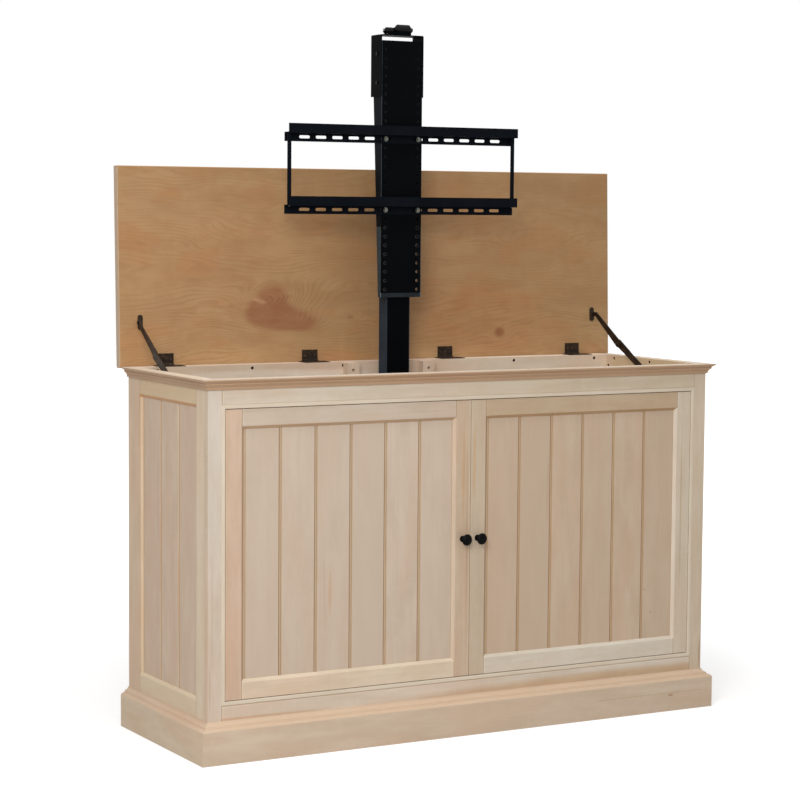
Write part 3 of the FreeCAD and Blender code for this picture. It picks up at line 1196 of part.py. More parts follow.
def main():
    os.makedirs("parts", exist_ok=True)
    build_face_frame()
    build_sides()
    build_back()
    build_floor()
    build_mouldings()
    build_doors()
    build_door_hardware()
    build_lid()
    build_lid_hinges()
    build_stays()
    build_lift_base()
    build_stages()
    build_mount_plate()
    build_head()
    build_bars()
    build_rollers()


main()
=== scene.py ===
"""The tv lift cabinet's looks: procedural woods and metals, small fittings, floor, lights and camera."""
import json
import math

import bmesh
import bpy
from mathutils import Matrix, Vector


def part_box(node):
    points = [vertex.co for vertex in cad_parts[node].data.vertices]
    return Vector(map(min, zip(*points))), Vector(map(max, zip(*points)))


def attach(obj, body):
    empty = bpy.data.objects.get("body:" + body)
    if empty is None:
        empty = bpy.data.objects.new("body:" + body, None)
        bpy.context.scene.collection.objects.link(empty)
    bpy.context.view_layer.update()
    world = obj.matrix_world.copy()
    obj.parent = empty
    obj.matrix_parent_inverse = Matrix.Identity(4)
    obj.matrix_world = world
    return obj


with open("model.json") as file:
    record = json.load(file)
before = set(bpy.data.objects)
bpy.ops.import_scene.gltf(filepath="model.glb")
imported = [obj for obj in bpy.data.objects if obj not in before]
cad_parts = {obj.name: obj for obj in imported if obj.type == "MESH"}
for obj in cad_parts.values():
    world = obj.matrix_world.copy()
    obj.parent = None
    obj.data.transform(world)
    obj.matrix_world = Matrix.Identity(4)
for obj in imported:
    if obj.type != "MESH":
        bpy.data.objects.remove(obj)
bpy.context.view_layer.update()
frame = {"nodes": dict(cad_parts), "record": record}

NODES = frame["nodes"]

CAMERA_PLACE = Vector((-3.2874, -5.7038, 1.4521))
CAMERA_YAW = math.radians(29.367)
CAMERA_PITCH = math.radians(4.708)
CAMERA_ROLL = math.radians(0.443)
CAMERA_LENS = 104.25
SENSOR_WIDTH = 36.0
CAMERA_REACH = 60.0


# ---------------------------------------------------------------- camera, first of all
def make_camera():
    """The view of the photograph: yaw from +Y towards +X, pitch down, then roll about the line of sight."""
    forward = Vector((math.sin(CAMERA_YAW) * math.cos(CAMERA_PITCH),
                      math.cos(CAMERA_YAW) * math.cos(CAMERA_PITCH), -math.sin(CAMERA_PITCH)))
    level = Vector((math.cos(CAMERA_YAW), -math.sin(CAMERA_YAW), 0.0))
    upright = level.cross(forward)
    cos_r, sin_r = math.cos(CAMERA_ROLL), math.sin(CAMERA_ROLL)
    right = cos_r * level + sin_r * upright
    up = -sin_r * level + cos_r * upright
    data = bpy.data.cameras.new("camera")
    data.lens = CAMERA_LENS
    data.sensor_width = SENSOR_WIDTH
    data.sensor_fit = "HORIZONTAL"
    data.clip_end = CAMERA_REACH
    camera = bpy.data.objects.new("camera", data)
    bpy.context.scene.collection.objects.link(camera)
    rows = [(right[i], up[i], -forward[i], CAMERA_PLACE[i]) for i in range(3)]
    camera.matrix_world = Matrix(rows + [(0, 0, 0, 1)])
    bpy.context.scene.camera = camera


make_camera()


# ---------------------------------------------------------------- places, in metres, from the frame
def span(node, axis):
    """The lowest and the highest place of a CAD node along x, y or z."""
    low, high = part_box(node)
    index = "xyz".index(axis)
    return low[index], high[index]


RIM = span("face_top_rail", "z")[1]                           # the cabinet's upper edge
SIDE_FACE = span("side_frame_right", "x")[1]                  # |x| of the cabinet's sides
FRONT_FACE = span("face_top_rail", "y")[0]
RAIL_END = span("face_top_rail", "x")[1]                      # |x| where the face's rails meet its stiles
BEAD_FOOT, BEAD_TOP = span("opening_bead", "z")
BEAD_WIDTH = 0.010
BEVEL = 0.008                                                 # width of the bevels around the beadboards
MEETING_FOOT = span("right_door_rails", "x")[0]               # |x| of the bevels on the doors' stiles
MEETING_TOP = span("right_door_meeting_stile", "x")[1]
OUTER_FOOT = span("right_door_outer_stile", "x")[0]
OUTER_TOP = span("right_door_rails", "x")[1]
DOOR_EDGE = span("right_door_outer_stile", "x")[1]
DOOR_FOOT, DOOR_TOP = span("right_door_rails", "z")
DOOR_BOARDS = span("right_door_boards", "z")
SIDE_FRONT, SIDE_BACK = span("side_frame_right", "y")
SIDE_PANEL = span("side_boards_right", "y")
SIDE_BOARDS = span("side_boards_right", "z")
LID_END = span("lid_panel", "x")[1]
LID_FACE = span("lid_panel", "y")[0]                          # the show face, at the open lid's foot
LID_FOOT, LID_TOP = span("lid_panel", "z")
LID_LEAN = 0.0332                                             # how far the open lid leans back per metre
COLUMN_SIDE = span("lift_middle_column", "x")[1]
PLATE_SIDE = span("lift_mount_plate", "x")[1]
PLATE_FOOT, PLATE_TOP = span("lift_mount_plate", "z")
HEAD_SIDE = span("lift_head", "x")[1]
DOOR_BOARD_COUNT = 6
SIDE_BOARD_COUNT = 3
PAST = 0.010                                                  # how far a tint runs past a piece's edge
SHARP = 0.0004                                                # softness of a tint's edge
GRADUAL = 0.2                                                 # softness of a tint that fades along a piece


# ---------------------------------------------------------------- node helpers
def rgb(r, g, b):
    """A colour written in 0-255 display values, as the linear colour that shows like it."""
    def linear(c):
        c /= 255.0
        return c / 12.92 if c <= 0.04045 else ((c + 0.055) / 1.055) ** 2.4
    return (linear(r), linear(g), linear(b), 1.0)


def shaded(tone, r, g, b):
    """A display colour with each channel scaled."""
    return rgb(*(min(255, channel * scale) for channel, scale in zip(tone, (r, g, b))))


def multiplier(factors):
    """The linear multiplier that scales a display colour by these factors."""
    return tuple(f ** 2.2 for f in factors) + (1.0,)


class Graph:
    """A material with a Principled shader, and short calls for the nodes that feed it."""

    def __init__(self, name):
        self.material = bpy.data.materials.new(name)
        self.material.use_nodes = True
        self.tree = self.material.node_tree
        self.tree.nodes.clear()
        self.output = self.tree.nodes.new("ShaderNodeOutputMaterial")
        self.shader = self.tree.nodes.new("ShaderNodeBsdfPrincipled")
        self.tree.links.new(self.shader.outputs[0], self.output.inputs["Surface"])
        self.place = self.tree.nodes.new("ShaderNodeTexCoord").outputs["Object"]
        self.x, self.y, self.z = self.parts(self.place)

    def put(self, socket, value):
        if isinstance(value, bpy.types.NodeSocket):
            self.tree.links.new(value, socket)
        else:
            socket.default_value = value

    def math(self, operation, a, b=None):
        node = self.tree.nodes.new("ShaderNodeMath")
        node.operation = operation
        self.put(node.inputs[0], a)
        if b is not None:
            self.put(node.inputs[1], b)
        return node.outputs[0]

    def plus(self, a, b):
        return self.math("ADD", a, b)

    def minus(self, a, b):
        return self.math("SUBTRACT", a, b)

    def times(self, a, b):
        return self.math("MULTIPLY", a, b)

    def vector(self, operation, a, b):
        node = self.tree.nodes.new("ShaderNodeVectorMath")
        node.operation = operation
        self.put(node.inputs[0], a)
        self.put(node.inputs[1], b)
        return node.outputs[0]

    def combine(self, x, y, z):
        node = self.tree.nodes.new("ShaderNodeCombineXYZ")
        for socket, value in zip(node.inputs, (x, y, z)):
            self.put(socket, value)
        return node.outputs[0]

    def parts(self, vector):
        """The vector's three numbers."""
        node = self.tree.nodes.new("ShaderNodeSeparateXYZ")
        self.put(node.inputs[0], vector)
        return node.outputs

    def noise(self, place, scale, detail=2.0, roughness=0.5, distortion=0.0):
        """Noise; three numbers for the scale stretch it differently along x, y and z."""
        if isinstance(scale, tuple):
            place, scale = self.vector("MULTIPLY", place, scale), 1.0
        node = self.tree.nodes.new("ShaderNodeTexNoise")
        self.put(node.inputs["Vector"], place)
        node.inputs["Scale"].default_value = scale
        node.inputs["Detail"].default_value = detail
        node.inputs["Roughness"].default_value = roughness
        node.inputs["Distortion"].default_value = distortion
        return node.outputs[0]

    def random(self, value):
        """A colour of three random numbers for each whole value."""
        node = self.tree.nodes.new("ShaderNodeTexWhiteNoise")
        node.noise_dimensions = "1D"
        self.put(node.inputs["W"], value)
        return node.outputs["Color"]

    def smooth(self, value, low, high, to_low=0.0, to_high=1.0):
        """A smooth step from to_low to to_high while the value goes from low to high."""
        node = self.tree.nodes.new("ShaderNodeMapRange")
        node.interpolation_type = "SMOOTHSTEP"
        for socket, v in zip(node.inputs, (value, low, high, to_low, to_high)):
            self.put(socket, v)
        return node.outputs[0]

    def mix(self, amount, a, b, blend="MIX"):
        node = self.tree.nodes.new("ShaderNodeMix")
        node.data_type = "RGBA"
        node.blend_type = blend
        self.put(node.inputs[0], amount)
        self.put(node.inputs[6], a)
        self.put(node.inputs[7], b)
        return node.outputs[2]

    def choose(self, amount, a, b):
        """A vector between two others."""
        node = self.tree.nodes.new("ShaderNodeMix")
        node.data_type = "VECTOR"
        self.put(node.inputs[0], amount)
        self.put(node.inputs[4], a)
        self.put(node.inputs[5], b)
        return node.outputs[1]

    def over(self, colour, shade, value, low, high, amount=1.0):
        """Lays a shade over the colour, by this amount at most, where the value rises from low to high."""
        return self.mix(self.times(self.smooth(value, low, high), amount), colour, shade)

    def along(self, name):
        """A coordinate by name: x, y, z, ax for |x|, or board for the place across one board."""
        return self.math("ABSOLUTE", self.x) if name == "ax" else getattr(self, name)

    def inside(self, name, low, high, soft=SHARP):
        """1 where the named coordinate lies between low and high, falling to 0 over soft."""
        distance = self.math("ABSOLUTE", self.minus(self.along(name), (low + high) / 2))
        half = (high - low) / 2
        return self.smooth(distance, half, half + soft, 1.0, 0.0)

    def oval(self, name, at, z, wide, high):
        """The squared distance from a place, 1 on the oval with this half width and half height."""
        across = self.math("DIVIDE", self.minus(self.along(name), at), wide)
        upwards = self.math("DIVIDE", self.minus(self.z, z), high)
        return self.plus(self.times(across, across), self.times(upwards, upwards))

    def tint(self, colour, bands=(), marks=()):
        """Tints places by display factors. A band is (factors, amount, (coordinate, low, high), ...) and
        reaches where all its ranges do; a range's fourth value is its softness, if it isn't SHARP.
        A mark is (factors, amount, coordinate, at, z, half width, half height), a soft oval."""
        for factors, amount, *ranges in bands:
            mask = amount
            for name, low, high, *soft in ranges:
                mask = self.times(mask, self.inside(name, low, high, *soft))
            colour = self.mix(mask, colour, multiplier(factors), "MULTIPLY")
        for factors, amount, *oval in marks:
            mask = self.smooth(self.oval(*oval), 0.1, 1.0, amount, 0.0)
            colour = self.mix(mask, colour, multiplier(factors), "MULTIPLY")
        return colour

    def bump(self, height, strength, distance):
        node = self.tree.nodes.new("ShaderNodeBump")
        node.inputs["Strength"].default_value = strength
        node.inputs["Distance"].default_value = distance
        self.put(node.inputs["Height"], height)
        return node.outputs[0]

    def finish(self, colour, roughness, normal, specular=0.5, metallic=0.0):
        """Feeds the shader and returns the material."""
        self.put(self.shader.inputs["Base Color"], colour)
        self.put(self.shader.inputs["Roughness"], roughness)
        self.put(self.shader.inputs["Normal"], normal)
        self.shader.inputs["Specular IOR Level"].default_value = specular
        self.shader.inputs["Metallic"].default_value = metallic
        return self.material


# ---------------------------------------------------------------- woods
GRAIN = {"X": ("x", "y", "z"), "Y": ("y", "x", "z"), "Z": ("z", "x", "y")}
HEART = (0.85, 0.60)                # where the tree's heart lies across the grain
RINGS_PER_METRE = 105.0
RING_TAPER = 0.021                  # how far the rings drift across a board for its length
TREE_SPREAD = (7.0, 1.7, 1.3)       # how far apart in the tree two boards may lie
GRAIN_SWAY = 0.035
SEED_STEPS = (0.377, 0.713, 0.191)  # a seed's share of the tree's spread, along, across and deep


def grain_place(g, axis):
    """The place with its first number along the grain."""
    return g.combine(*(getattr(g, name) for name in GRAIN[axis]))


def pine(name, grain, tone, seed, crossed=None, boards=None, streak=0.5, rings=0.5, blush=0.4,
         bands=(), marks=()):
    """Planed unfinished pine. The grain is X, Y or Z; crossed = (grain, mask) turns it where mask(g) is 1.
    boards = (coordinate, start, pitch) gives each board its own cut; for bands and marks see Graph.tint."""
    g = Graph(name)
    place = grain_place(g, grain)
    own = tuple(seed * step % 1.0 for step in SEED_STEPS)
    if crossed:
        mask = crossed[1](g)
        place = g.choose(mask, place, grain_place(g, crossed[0]))
        own = g.random(g.plus(mask, seed))
    elif boards:
        coordinate, start, pitch = boards
        count = g.math("DIVIDE", g.minus(getattr(g, coordinate), start), pitch)
        g.board = g.times(g.math("FRACT", count), pitch)
        own = g.random(g.plus(g.math("FLOOR", count), seed))
    place = g.vector("ADD", place, g.vector("MULTIPLY", own, TREE_SPREAD))
    sway = g.times(g.minus(g.noise(place, (1.3, 7.0, 7.0)), 0.5), GRAIN_SWAY)
    place = g.vector("ADD", place, g.combine(0.0, sway, sway))
    fibre = g.noise(place, (11.0, 520.0, 520.0), detail=3.0, roughness=0.6)
    thread = g.noise(place, (3.0, 110.0, 110.0), detail=3.0, roughness=0.6)
    cloud = g.noise(place, (6.0, 26.0, 26.0), detail=4.0, roughness=0.6)
    patch = g.noise(place, (3.2, 13.0, 13.0))
    fiddle = g.noise(place, (46.0, 16.0, 16.0))
    vein = g.noise(place, (1.5, 46.0, 46.0))

    lengthwise, across, deep = g.parts(place)
    sideways = g.minus(g.plus(g.times(lengthwise, RING_TAPER), across), HEART[0])
    inwards = g.minus(deep, HEART[1])
    radius = g.math("SQRT", g.plus(g.math("POWER", sideways, 2.0), g.math("POWER", inwards, 2.0)))
    phase = g.plus(g.times(radius, RINGS_PER_METRE), g.times(cloud, 1.6))
    ring = g.math("POWER", g.math("FRACT", phase), 2.5)
    ring = g.times(ring, g.smooth(patch, 0.35, 0.7, 0.2, 1.0))

    colour = g.over(shaded(tone, 1.028, 1.032, 1.036), shaded(tone, 0.972, 0.958, 0.940), cloud, 0.3, 0.7)
    colour = g.over(colour, shaded(tone, 1.012, 0.945, 0.915), patch, 0.46, 0.66, blush)
    colour = g.over(colour, shaded(tone, 0.972, 0.955, 0.935), thread, 0.35, 0.75, 0.35)
    colour = g.over(colour, shaded(tone, 1.03, 1.03, 1.03), fiddle, 0.5, 0.75, 0.25)
    if boards or crossed:
        colour = g.mix(g.times(g.parts(own)[1], 0.8), colour, shaded(tone, 0.972, 0.965, 0.96))
    colour = g.mix(g.times(ring, 0.17 * rings), colour, shaded(tone, 0.88, 0.81, 0.72))
    colour = g.over(colour, shaded(tone, 0.88, 0.78, 0.66), vein, 0.68, 0.82, 0.5 * streak)
    colour = g.over(colour, shaded(tone, 0.84, 0.76, 0.67), fibre, 0.58, 0.8, 0.13)
    colour = g.tint(colour, bands, marks)
    roughness = g.smooth(fibre, 0.2, 0.8, 0.56, 0.72)
    height = g.plus(g.times(fibre, 0.6), g.times(ring, 0.3))
    return g.finish(colour, roughness, g.bump(height, 0.2, 0.0006), specular=0.35)


# Hills on the lid, (x, z, half width, half height, weight). They bend the wood's lines, and place its stain,
# its knots and the pale fleck.
LID_SWIRLS = ((-0.379, 1.187, 0.030, 0.018, 3.0), (-0.31, 1.17, 0.15, 0.085, 6.0),
              (0.420, 1.083, 0.030, 0.016, 4.0), (-0.093, 1.137, 0.030, 0.016, 3.0),
              (-0.345, 1.192, 0.075, 0.050, 6.0), (-0.285, 1.128, 0.10, 0.030, 3.0),
              (-0.62, 1.38, 0.10, 0.05, -3.0), (0.55, 1.36, 0.14, 0.05, 4.0))
LID_STAIN = ((-0.345, 1.198, 0.066, 0.052, 1.0), (-0.285, 1.128, 0.100, 0.033, 1.1),
             (-0.392, 1.150, 0.062, 0.034, 0.8))
LID_KNOTS = ((0.420, 1.083, 0.022, 0.019, 1.15), (-0.093, 1.137, 0.018, 0.010, 0.7),
             (-0.478, 1.172, 0.018, 0.010, 0.55))
LID_FLECK = ((-0.379, 1.184, 0.022, 0.011, 1.0), (-0.400, 1.192, 0.014, 0.006, 0.8))
LID_WARM = ((1.0, 0.95, 0.92), 0.9, "x", 0.36, 1.12, 0.30, 0.14)
# Painted light: the lid is lighter towards its foot. It is also darker towards its top and towards its right
# end.
LID_FADES = (("z", 1.34, 1.06, (1.06, 1.08, 1.095)), ("z", 1.34, 1.52, (0.965, 0.98, 0.985)),
             ("x", 0.1, 0.75, (0.968, 0.978, 0.975)))       # (coordinate, none here, all there, factors)


def hills(g, rows):
    """The sum of weighted smooth bumps."""
    total = 0.0
    for x, z, wide, high, weight in rows:
        fall = g.times(g.oval("x", x, z, wide, high), -1.0)
        total = g.plus(total, g.times(g.math("POWER", math.e, fall), weight))
    return total


def lid_wood():
    """Oiled birch: fine contour lines along X that flow around a large reddish knot and three small ones."""
    g = Graph("lid_birch")
    leaning = g.minus(g.y, g.times(g.minus(g.z, LID_FOOT), LID_LEAN))
    rear = g.smooth(leaning, LID_FACE + 0.0107, LID_FACE + 0.0137)
    show = g.minus(1.0, rear)
    sheet = g.plus(g.y, g.times(rear, 5.0))
    wander = g.noise(g.combine(g.x, sheet, g.z), (1.1, 1.0, 4.2), detail=3.0, roughness=0.45)
    ripple = g.noise(g.place, (5.0, 1.0, 26.0), detail=3.0)
    level = g.plus(g.plus(g.times(g.z, 78.0), g.times(wander, 26.0)), g.times(ripple, 2.6))
    level = g.plus(level, hills(g, LID_SWIRLS))
    line = g.smooth(g.math("SINE", g.times(level, 2 * math.pi)), -0.3, 1.0)
    stain = g.plus(hills(g, LID_STAIN), g.times(g.minus(ripple, 0.5), 0.7))
    stain = g.times(g.smooth(stain, 0.34, 0.86), show)
    knot = g.times(g.smooth(hills(g, LID_KNOTS), 0.25, 1.05), show)
    fibre = g.noise(g.place, (14.0, 420.0, 420.0), detail=3.0, roughness=0.6)
    cloud = g.noise(g.place, (4.0, 9.0, 12.0), detail=4.0, roughness=0.62)
    ray = g.noise(g.place, (26.0, 30.0, 7.0))
    elsewhere = g.vector("ADD", g.vector("MULTIPLY", g.place, (5.0, 5.0, 12.0)), (3.0, 0.0, 5.0))
    blush = g.noise(elsewhere, 1.0, detail=3.0)
    mottle = g.noise(g.place, (13.0, 9.0, 30.0), detail=3.0, roughness=0.55)
    broken = g.noise(g.place, (9.0, 9.0, 40.0))

    tone = (166, 129, 89)
    colour = g.over(shaded(tone, 1.03, 1.03, 1.03), shaded(tone, 0.955, 0.935, 0.91), cloud, 0.32, 0.68)
    colour = g.over(colour, shaded(tone, 1.01, 0.91, 0.84), blush, 0.48, 0.68, 0.6)
    colour = g.over(colour, shaded(tone, 0.955, 0.90, 0.84), mottle, 0.45, 0.68, 0.5)
    colour = g.over(colour, shaded(tone, 1.05, 1.06, 1.08), ray, 0.5, 0.8, 0.3)
    for name, start, end, factors in LID_FADES:
        colour = g.mix(g.smooth(g.along(name), start, end), colour, multiplier(factors), "MULTIPLY")
    colour = g.tint(colour, marks=[LID_WARM])
    colour = g.mix(g.times(stain, g.smooth(mottle, 0.3, 0.7, 0.62, 0.85)), colour, rgb(146, 93, 59))
    depth = g.times(g.smooth(broken, 0.35, 0.65, 0.25, 1.0), g.smooth(stain, 0.0, 1.0, 0.36, 0.42))
    lines = g.mix(stain, shaded(tone, 0.90, 0.84, 0.77), rgb(122, 72, 44))
    colour = g.mix(g.times(line, depth), colour, lines)
    colour = g.over(colour, shaded(tone, 0.85, 0.77, 0.68), fibre, 0.52, 0.76, 0.16)
    colour = g.mix(g.times(knot, 0.66), colour, rgb(128, 72, 38))
    fleck = g.times(hills(g, LID_FLECK), g.smooth(mottle, 0.3, 0.6, 0.6, 1.0))
    fleck = g.times(g.smooth(fleck, 0.35, 1.1), show)
    colour = g.mix(g.times(fleck, 0.5), colour, rgb(196, 154, 116))

    ply = g.smooth(g.math("SINE", g.times(g.y, 3300.0)), -0.4, 0.6)
    end_grain = g.mix(ply, rgb(196, 172, 146), rgb(182, 154, 126))
    colour = g.over(colour, end_grain, g.math("ABSOLUTE", g.x), LID_END - 0.0018, LID_END - 0.0008, 0.9)
    top_grain = g.mix(ply, rgb(176, 134, 92), rgb(160, 116, 76))
    colour = g.over(colour, top_grain, g.z, LID_TOP - 0.0030, LID_TOP - 0.0020, 0.8)
    roughness = g.smooth(fibre, 0.2, 0.8, 0.46, 0.60)
    return g.finish(colour, roughness, g.bump(fibre, 0.15, 0.0005), specular=0.35)


def plywood(name, tone, seed):
    """Rotary-cut sheet with broad wavy figure, for the back and the cabinet's floor."""
    g = Graph(name)
    place = g.vector("ADD", g.place, (seed, seed * 0.7, seed * 1.3))
    broad = g.noise(place, (1.6, 1.6, 0.5), detail=3.0, distortion=0.6)
    line = g.smooth(g.math("SINE", g.times(broad, 230.0)), 0.0, 1.0)
    fibre = g.noise(place, (350.0, 350.0, 10.0), detail=3.0, roughness=0.6)
    faint = g.smooth(g.noise(place, 2.5), 0.35, 0.65, 0.25, 0.75)
    colour = g.mix(g.times(line, faint), shaded(tone, 1.03, 1.03, 1.03), shaded(tone, 0.91, 0.86, 0.79))
    colour = g.over(colour, shaded(tone, 0.78, 0.70, 0.60), fibre, 0.5, 0.78, 0.35)
    roughness = g.smooth(fibre, 0.2, 0.8, 0.6, 0.75)
    return g.finish(colour, roughness, g.bump(fibre, 0.2, 0.0006), specular=0.3)


# ---------------------------------------------------------------- metals and plastics
def powder_coat(name, tone, gloss=0.02, bands=()):
    """Black powder coat: a fine even pebble with a little dust on it; for bands see Graph.tint."""
    g = Graph(name)
    pebble = g.noise(g.place, 1400.0)
    cloud = g.noise(g.place, 14.0, detail=3.0, roughness=0.6)
    colour = g.over(rgb(*tone), shaded(tone, 1.35, 1.3, 1.25), cloud, 0.3, 0.75)
    colour = g.tint(colour, bands)
    roughness = g.smooth(g.plus(g.times(pebble, 0.5), g.times(cloud, 0.5)), 0.3, 0.7, 0.42, 0.56)
    return g.finish(colour, roughness, g.bump(pebble, 0.25, 0.0004), specular=gloss)


def bronze(name, tone, bands=()):
    """Oil-rubbed bronze: near black, with brown showing where it is rubbed."""
    g = Graph(name)
    patch = g.noise(g.place, 70.0, detail=4.0, roughness=0.6)
    fine = g.noise(g.place, 900.0, detail=3.0, roughness=0.6)
    rubbed = g.plus(g.times(patch, 0.75), g.times(fine, 0.25))
    colour = g.over(rgb(*tone), shaded(tone, 1.75, 1.7, 1.65), rubbed, 0.46, 0.66)
    colour = g.tint(colour, bands)
    roughness = g.smooth(fine, 0.2, 0.8, 0.36, 0.54)
    return g.finish(colour, roughness, g.bump(fine, 0.2, 0.0003), specular=0.16, metallic=0.15)


def zinc(name, light, dark, bands=()):
    """Zinc plate with a faint crystalline mottle; for bands see Graph.tint."""
    g = Graph(name)
    mottle = g.noise(g.place, 420.0, detail=3.0, roughness=0.6)
    colour = g.tint(g.over(rgb(*light), rgb(*dark), mottle, 0.3, 0.7), bands)
    roughness = g.smooth(mottle, 0.3, 0.7, 0.24, 0.42)
    return g.finish(colour, roughness, g.bump(mottle, 0.1, 0.0002), metallic=1.0)


def moulded(name, tone, low, high, gloss=0.35):
    """Moulded plastic with a fine texture and a slightly uneven colour, rough from low to high."""
    g = Graph(name)
    texture = g.noise(g.place, 260.0, detail=3.0, roughness=0.55)
    cloud = g.noise(g.place, 25.0)
    colour = g.over(shaded(tone, 1.05, 1.05, 1.05), shaded(tone, 0.9, 0.9, 0.9), cloud, 0.3, 0.7)
    roughness = g.smooth(texture, 0.25, 0.75, low, high)
    return g.finish(colour, roughness, g.bump(texture, 0.15, 0.0003), specular=gloss)


def assign(node, material):
    """A CAD node's own mesh takes the material in all its slots."""
    data = NODES[node].data
    if not data.materials:
        data.materials.append(material)
    for i in range(len(data.materials)):
        data.materials[i] = material


# ---------------------------------------------------------------- the cabinet's woods
JOINT_DARK = (0.84, 0.79, 0.74)
# Painted highlight on the arris beside a joint.
JOINT_ARRIS_HIGHLIGHT = (1.04, 1.04, 1.04)
JOINT_LINE, JOINT_EDGE = 0.0021, 0.0055     # how far from the joint the line and the strip end
# Painted shade inside the pocket holes.
POCKET_SHADE = (0.33, 0.19, 0.10)
# The pocket holes' insides lie in these ranges, just under the faces that they are drilled into.
SIDE_POCKETS = (("ax", 0.7757, 0.787), ("z", 0.90, 1.005), ("y", -0.235, 0.255))
BACK_POCKETS = (("y", 0.2175, 0.258), ("z", 0.953, 1.005), ("ax", 0.0, 0.77))
STREAK = (0.94, 0.92, 0.90)
# Painted highlight along the doors' eased arrises.
ARRIS_HIGHLIGHT = (1.05, 1.055, 1.06)
GROOVE = (0.96, 0.92, 0.85)
SMALL_KNOT = (0.90, 0.84, 0.78)
SIDE_STREAK = (0.98, 0.90, 0.80)
SAP_SPOT = (1.0, 0.88, 0.74)

DOOR_MARKS = {
    "left_door_boards": [((0.99, 0.92, 0.86), 0.8, "x", -0.4315, 0.429, 0.006, 0.075)],
    "left_door_meeting_stile": [((0.93, 0.90, 0.87), 0.8, "x", -0.010, 0.54, 0.004, 0.36),
                                ((1.0, 0.92, 0.82), 0.8, "x", -0.022, 0.74, 0.005, 0.17)],
    "right_door_outer_stile": [((0.92, 0.88, 0.82), 0.8, "x", 0.716, 0.60, 0.0035, 0.30)],
    "right_door_meeting_stile": [((1.0, 0.93, 0.85), 0.8, "x", 0.012, 0.76, 0.006, 0.14)],
    "right_door_boards": [(SMALL_KNOT, 0.8, "x", 0.620, 0.291, 0.004, 0.005),
                          (SMALL_KNOT, 0.8, "x", 0.5975, 0.358, 0.004, 0.005)]}


def mitred(g):
    """1 on the mouldings' side runs, 0 on the front run: the mitre plane parts them."""
    return g.math("GREATER_THAN", g.plus(g.math("ABSOLUTE", g.x), g.y), SIDE_FACE + FRONT_FACE)


def on_side_rail(g):
    """1 on the side frames' rails, 0 on their stiles."""
    low, high = SIDE_PANEL
    foot, top = SIDE_BOARDS[0] + BEVEL, SIDE_BOARDS[1]
    inside = g.times(g.math("GREATER_THAN", g.y, low), g.math("LESS_THAN", g.y, high))
    from_middle = g.math("ABSOLUTE", g.minus(g.z, (foot + top) / 2))
    return g.times(inside, g.math("GREATER_THAN", from_middle, (top - foot) / 2))


def on_bead_rail(g):
    """1 on the opening bead's level strips, up to about their mitres."""
    foot, top = BEAD_FOOT, BEAD_TOP - BEAD_WIDTH
    beyond_x = g.minus(g.math("ABSOLUTE", g.x), RAIL_END - BEAD_WIDTH)
    from_middle = g.math("ABSOLUTE", g.minus(g.z, (foot + top) / 2))
    beyond_z = g.minus(from_middle, (top - foot) / 2)
    return g.math("GREATER_THAN", beyond_z, beyond_x)


def joint(name, at, side):
    """A butt joint's dark line on one side of a place, and a painted highlight on the strip beside it."""
    line = sorted((at, at + side * JOINT_LINE))
    strip = sorted((at + side * JOINT_LINE, at + side * JOINT_EDGE))
    return [(JOINT_DARK, 0.9, (name, *line)), (JOINT_ARRIS_HIGHLIGHT, 0.8, (name, *strip))]


def dress_face_frame():
    """The stiles and rails of the front, and the bead around the doors."""
    outer_face = ((1.023, 0.988, 0.944), 1.0, ("ax", SIDE_FACE - 0.0005, SIDE_FACE + PAST))
    assign("face_stile_left", pine(
        "pine_face_stile_left", "Z", (203, 190, 175), 1, streak=0.7, rings=0.4, blush=0.35,
        bands=[outer_face, ((1.0, 0.985, 0.97), 0.8, ("z", 0.0, 0.4, GRADUAL))],
        marks=[(STREAK, 0.8, "x", -0.783, 0.40, 0.003, 0.2), (STREAK, 0.8, "x", -0.790, 0.20, 0.004, 0.08)]))
    assign("face_stile_right", pine(
        "pine_face_stile_right", "Z", (202, 185, 163), 2, streak=0.9, blush=0.35,
        bands=[outer_face, ((1.015, 1.03, 1.035), 0.8, ("z", 0.55, 1.1, GRADUAL))],
        marks=[((0.88, 0.83, 0.80), 0.9, "x", 0.7905, 0.155, 0.004, 0.06)]))
    assign("face_top_rail", pine(
        "pine_face_top_rail", "X", (205, 191, 170), 3, blush=0.35,
        bands=[*joint("ax", RAIL_END, -1), ((0.93, 0.91, 0.89), 0.9, ("z", BEAD_TOP, BEAD_TOP + 0.002)),
               ((1.01, 1.015, 1.035), 0.8, ("x", -0.8, -0.2, GRADUAL)),
               ((0.99, 0.98, 0.96), 0.8, ("x", 0.3, 0.8, GRADUAL))]))
    assign("face_bottom_rail", pine(
        "pine_face_bottom_rail", "X", (205, 187, 166), 4, blush=0.35,
        bands=[*joint("ax", RAIL_END, -1), *joint("z", BEAD_FOOT + 0.0002, -1),
               ((1.03, 1.045, 1.07), 0.8, ("x", -0.8, -0.1, GRADUAL)),
               ((1.035, 1.075, 1.12), 0.8, ("x", 0.15, 0.8, GRADUAL))],
        marks=[((0.93, 0.85, 0.76), 1.0, "x", 0.50, 0.109, 0.80, 0.034),
               ((0.94, 0.84, 0.76), 0.8, "x", -0.70, 0.112, 0.30, 0.007)]))
    assign("opening_bead", pine(
        "pine_bead", "Z", (214, 201, 181), 5, crossed=("X", on_bead_rail), rings=0.2, blush=0.3))


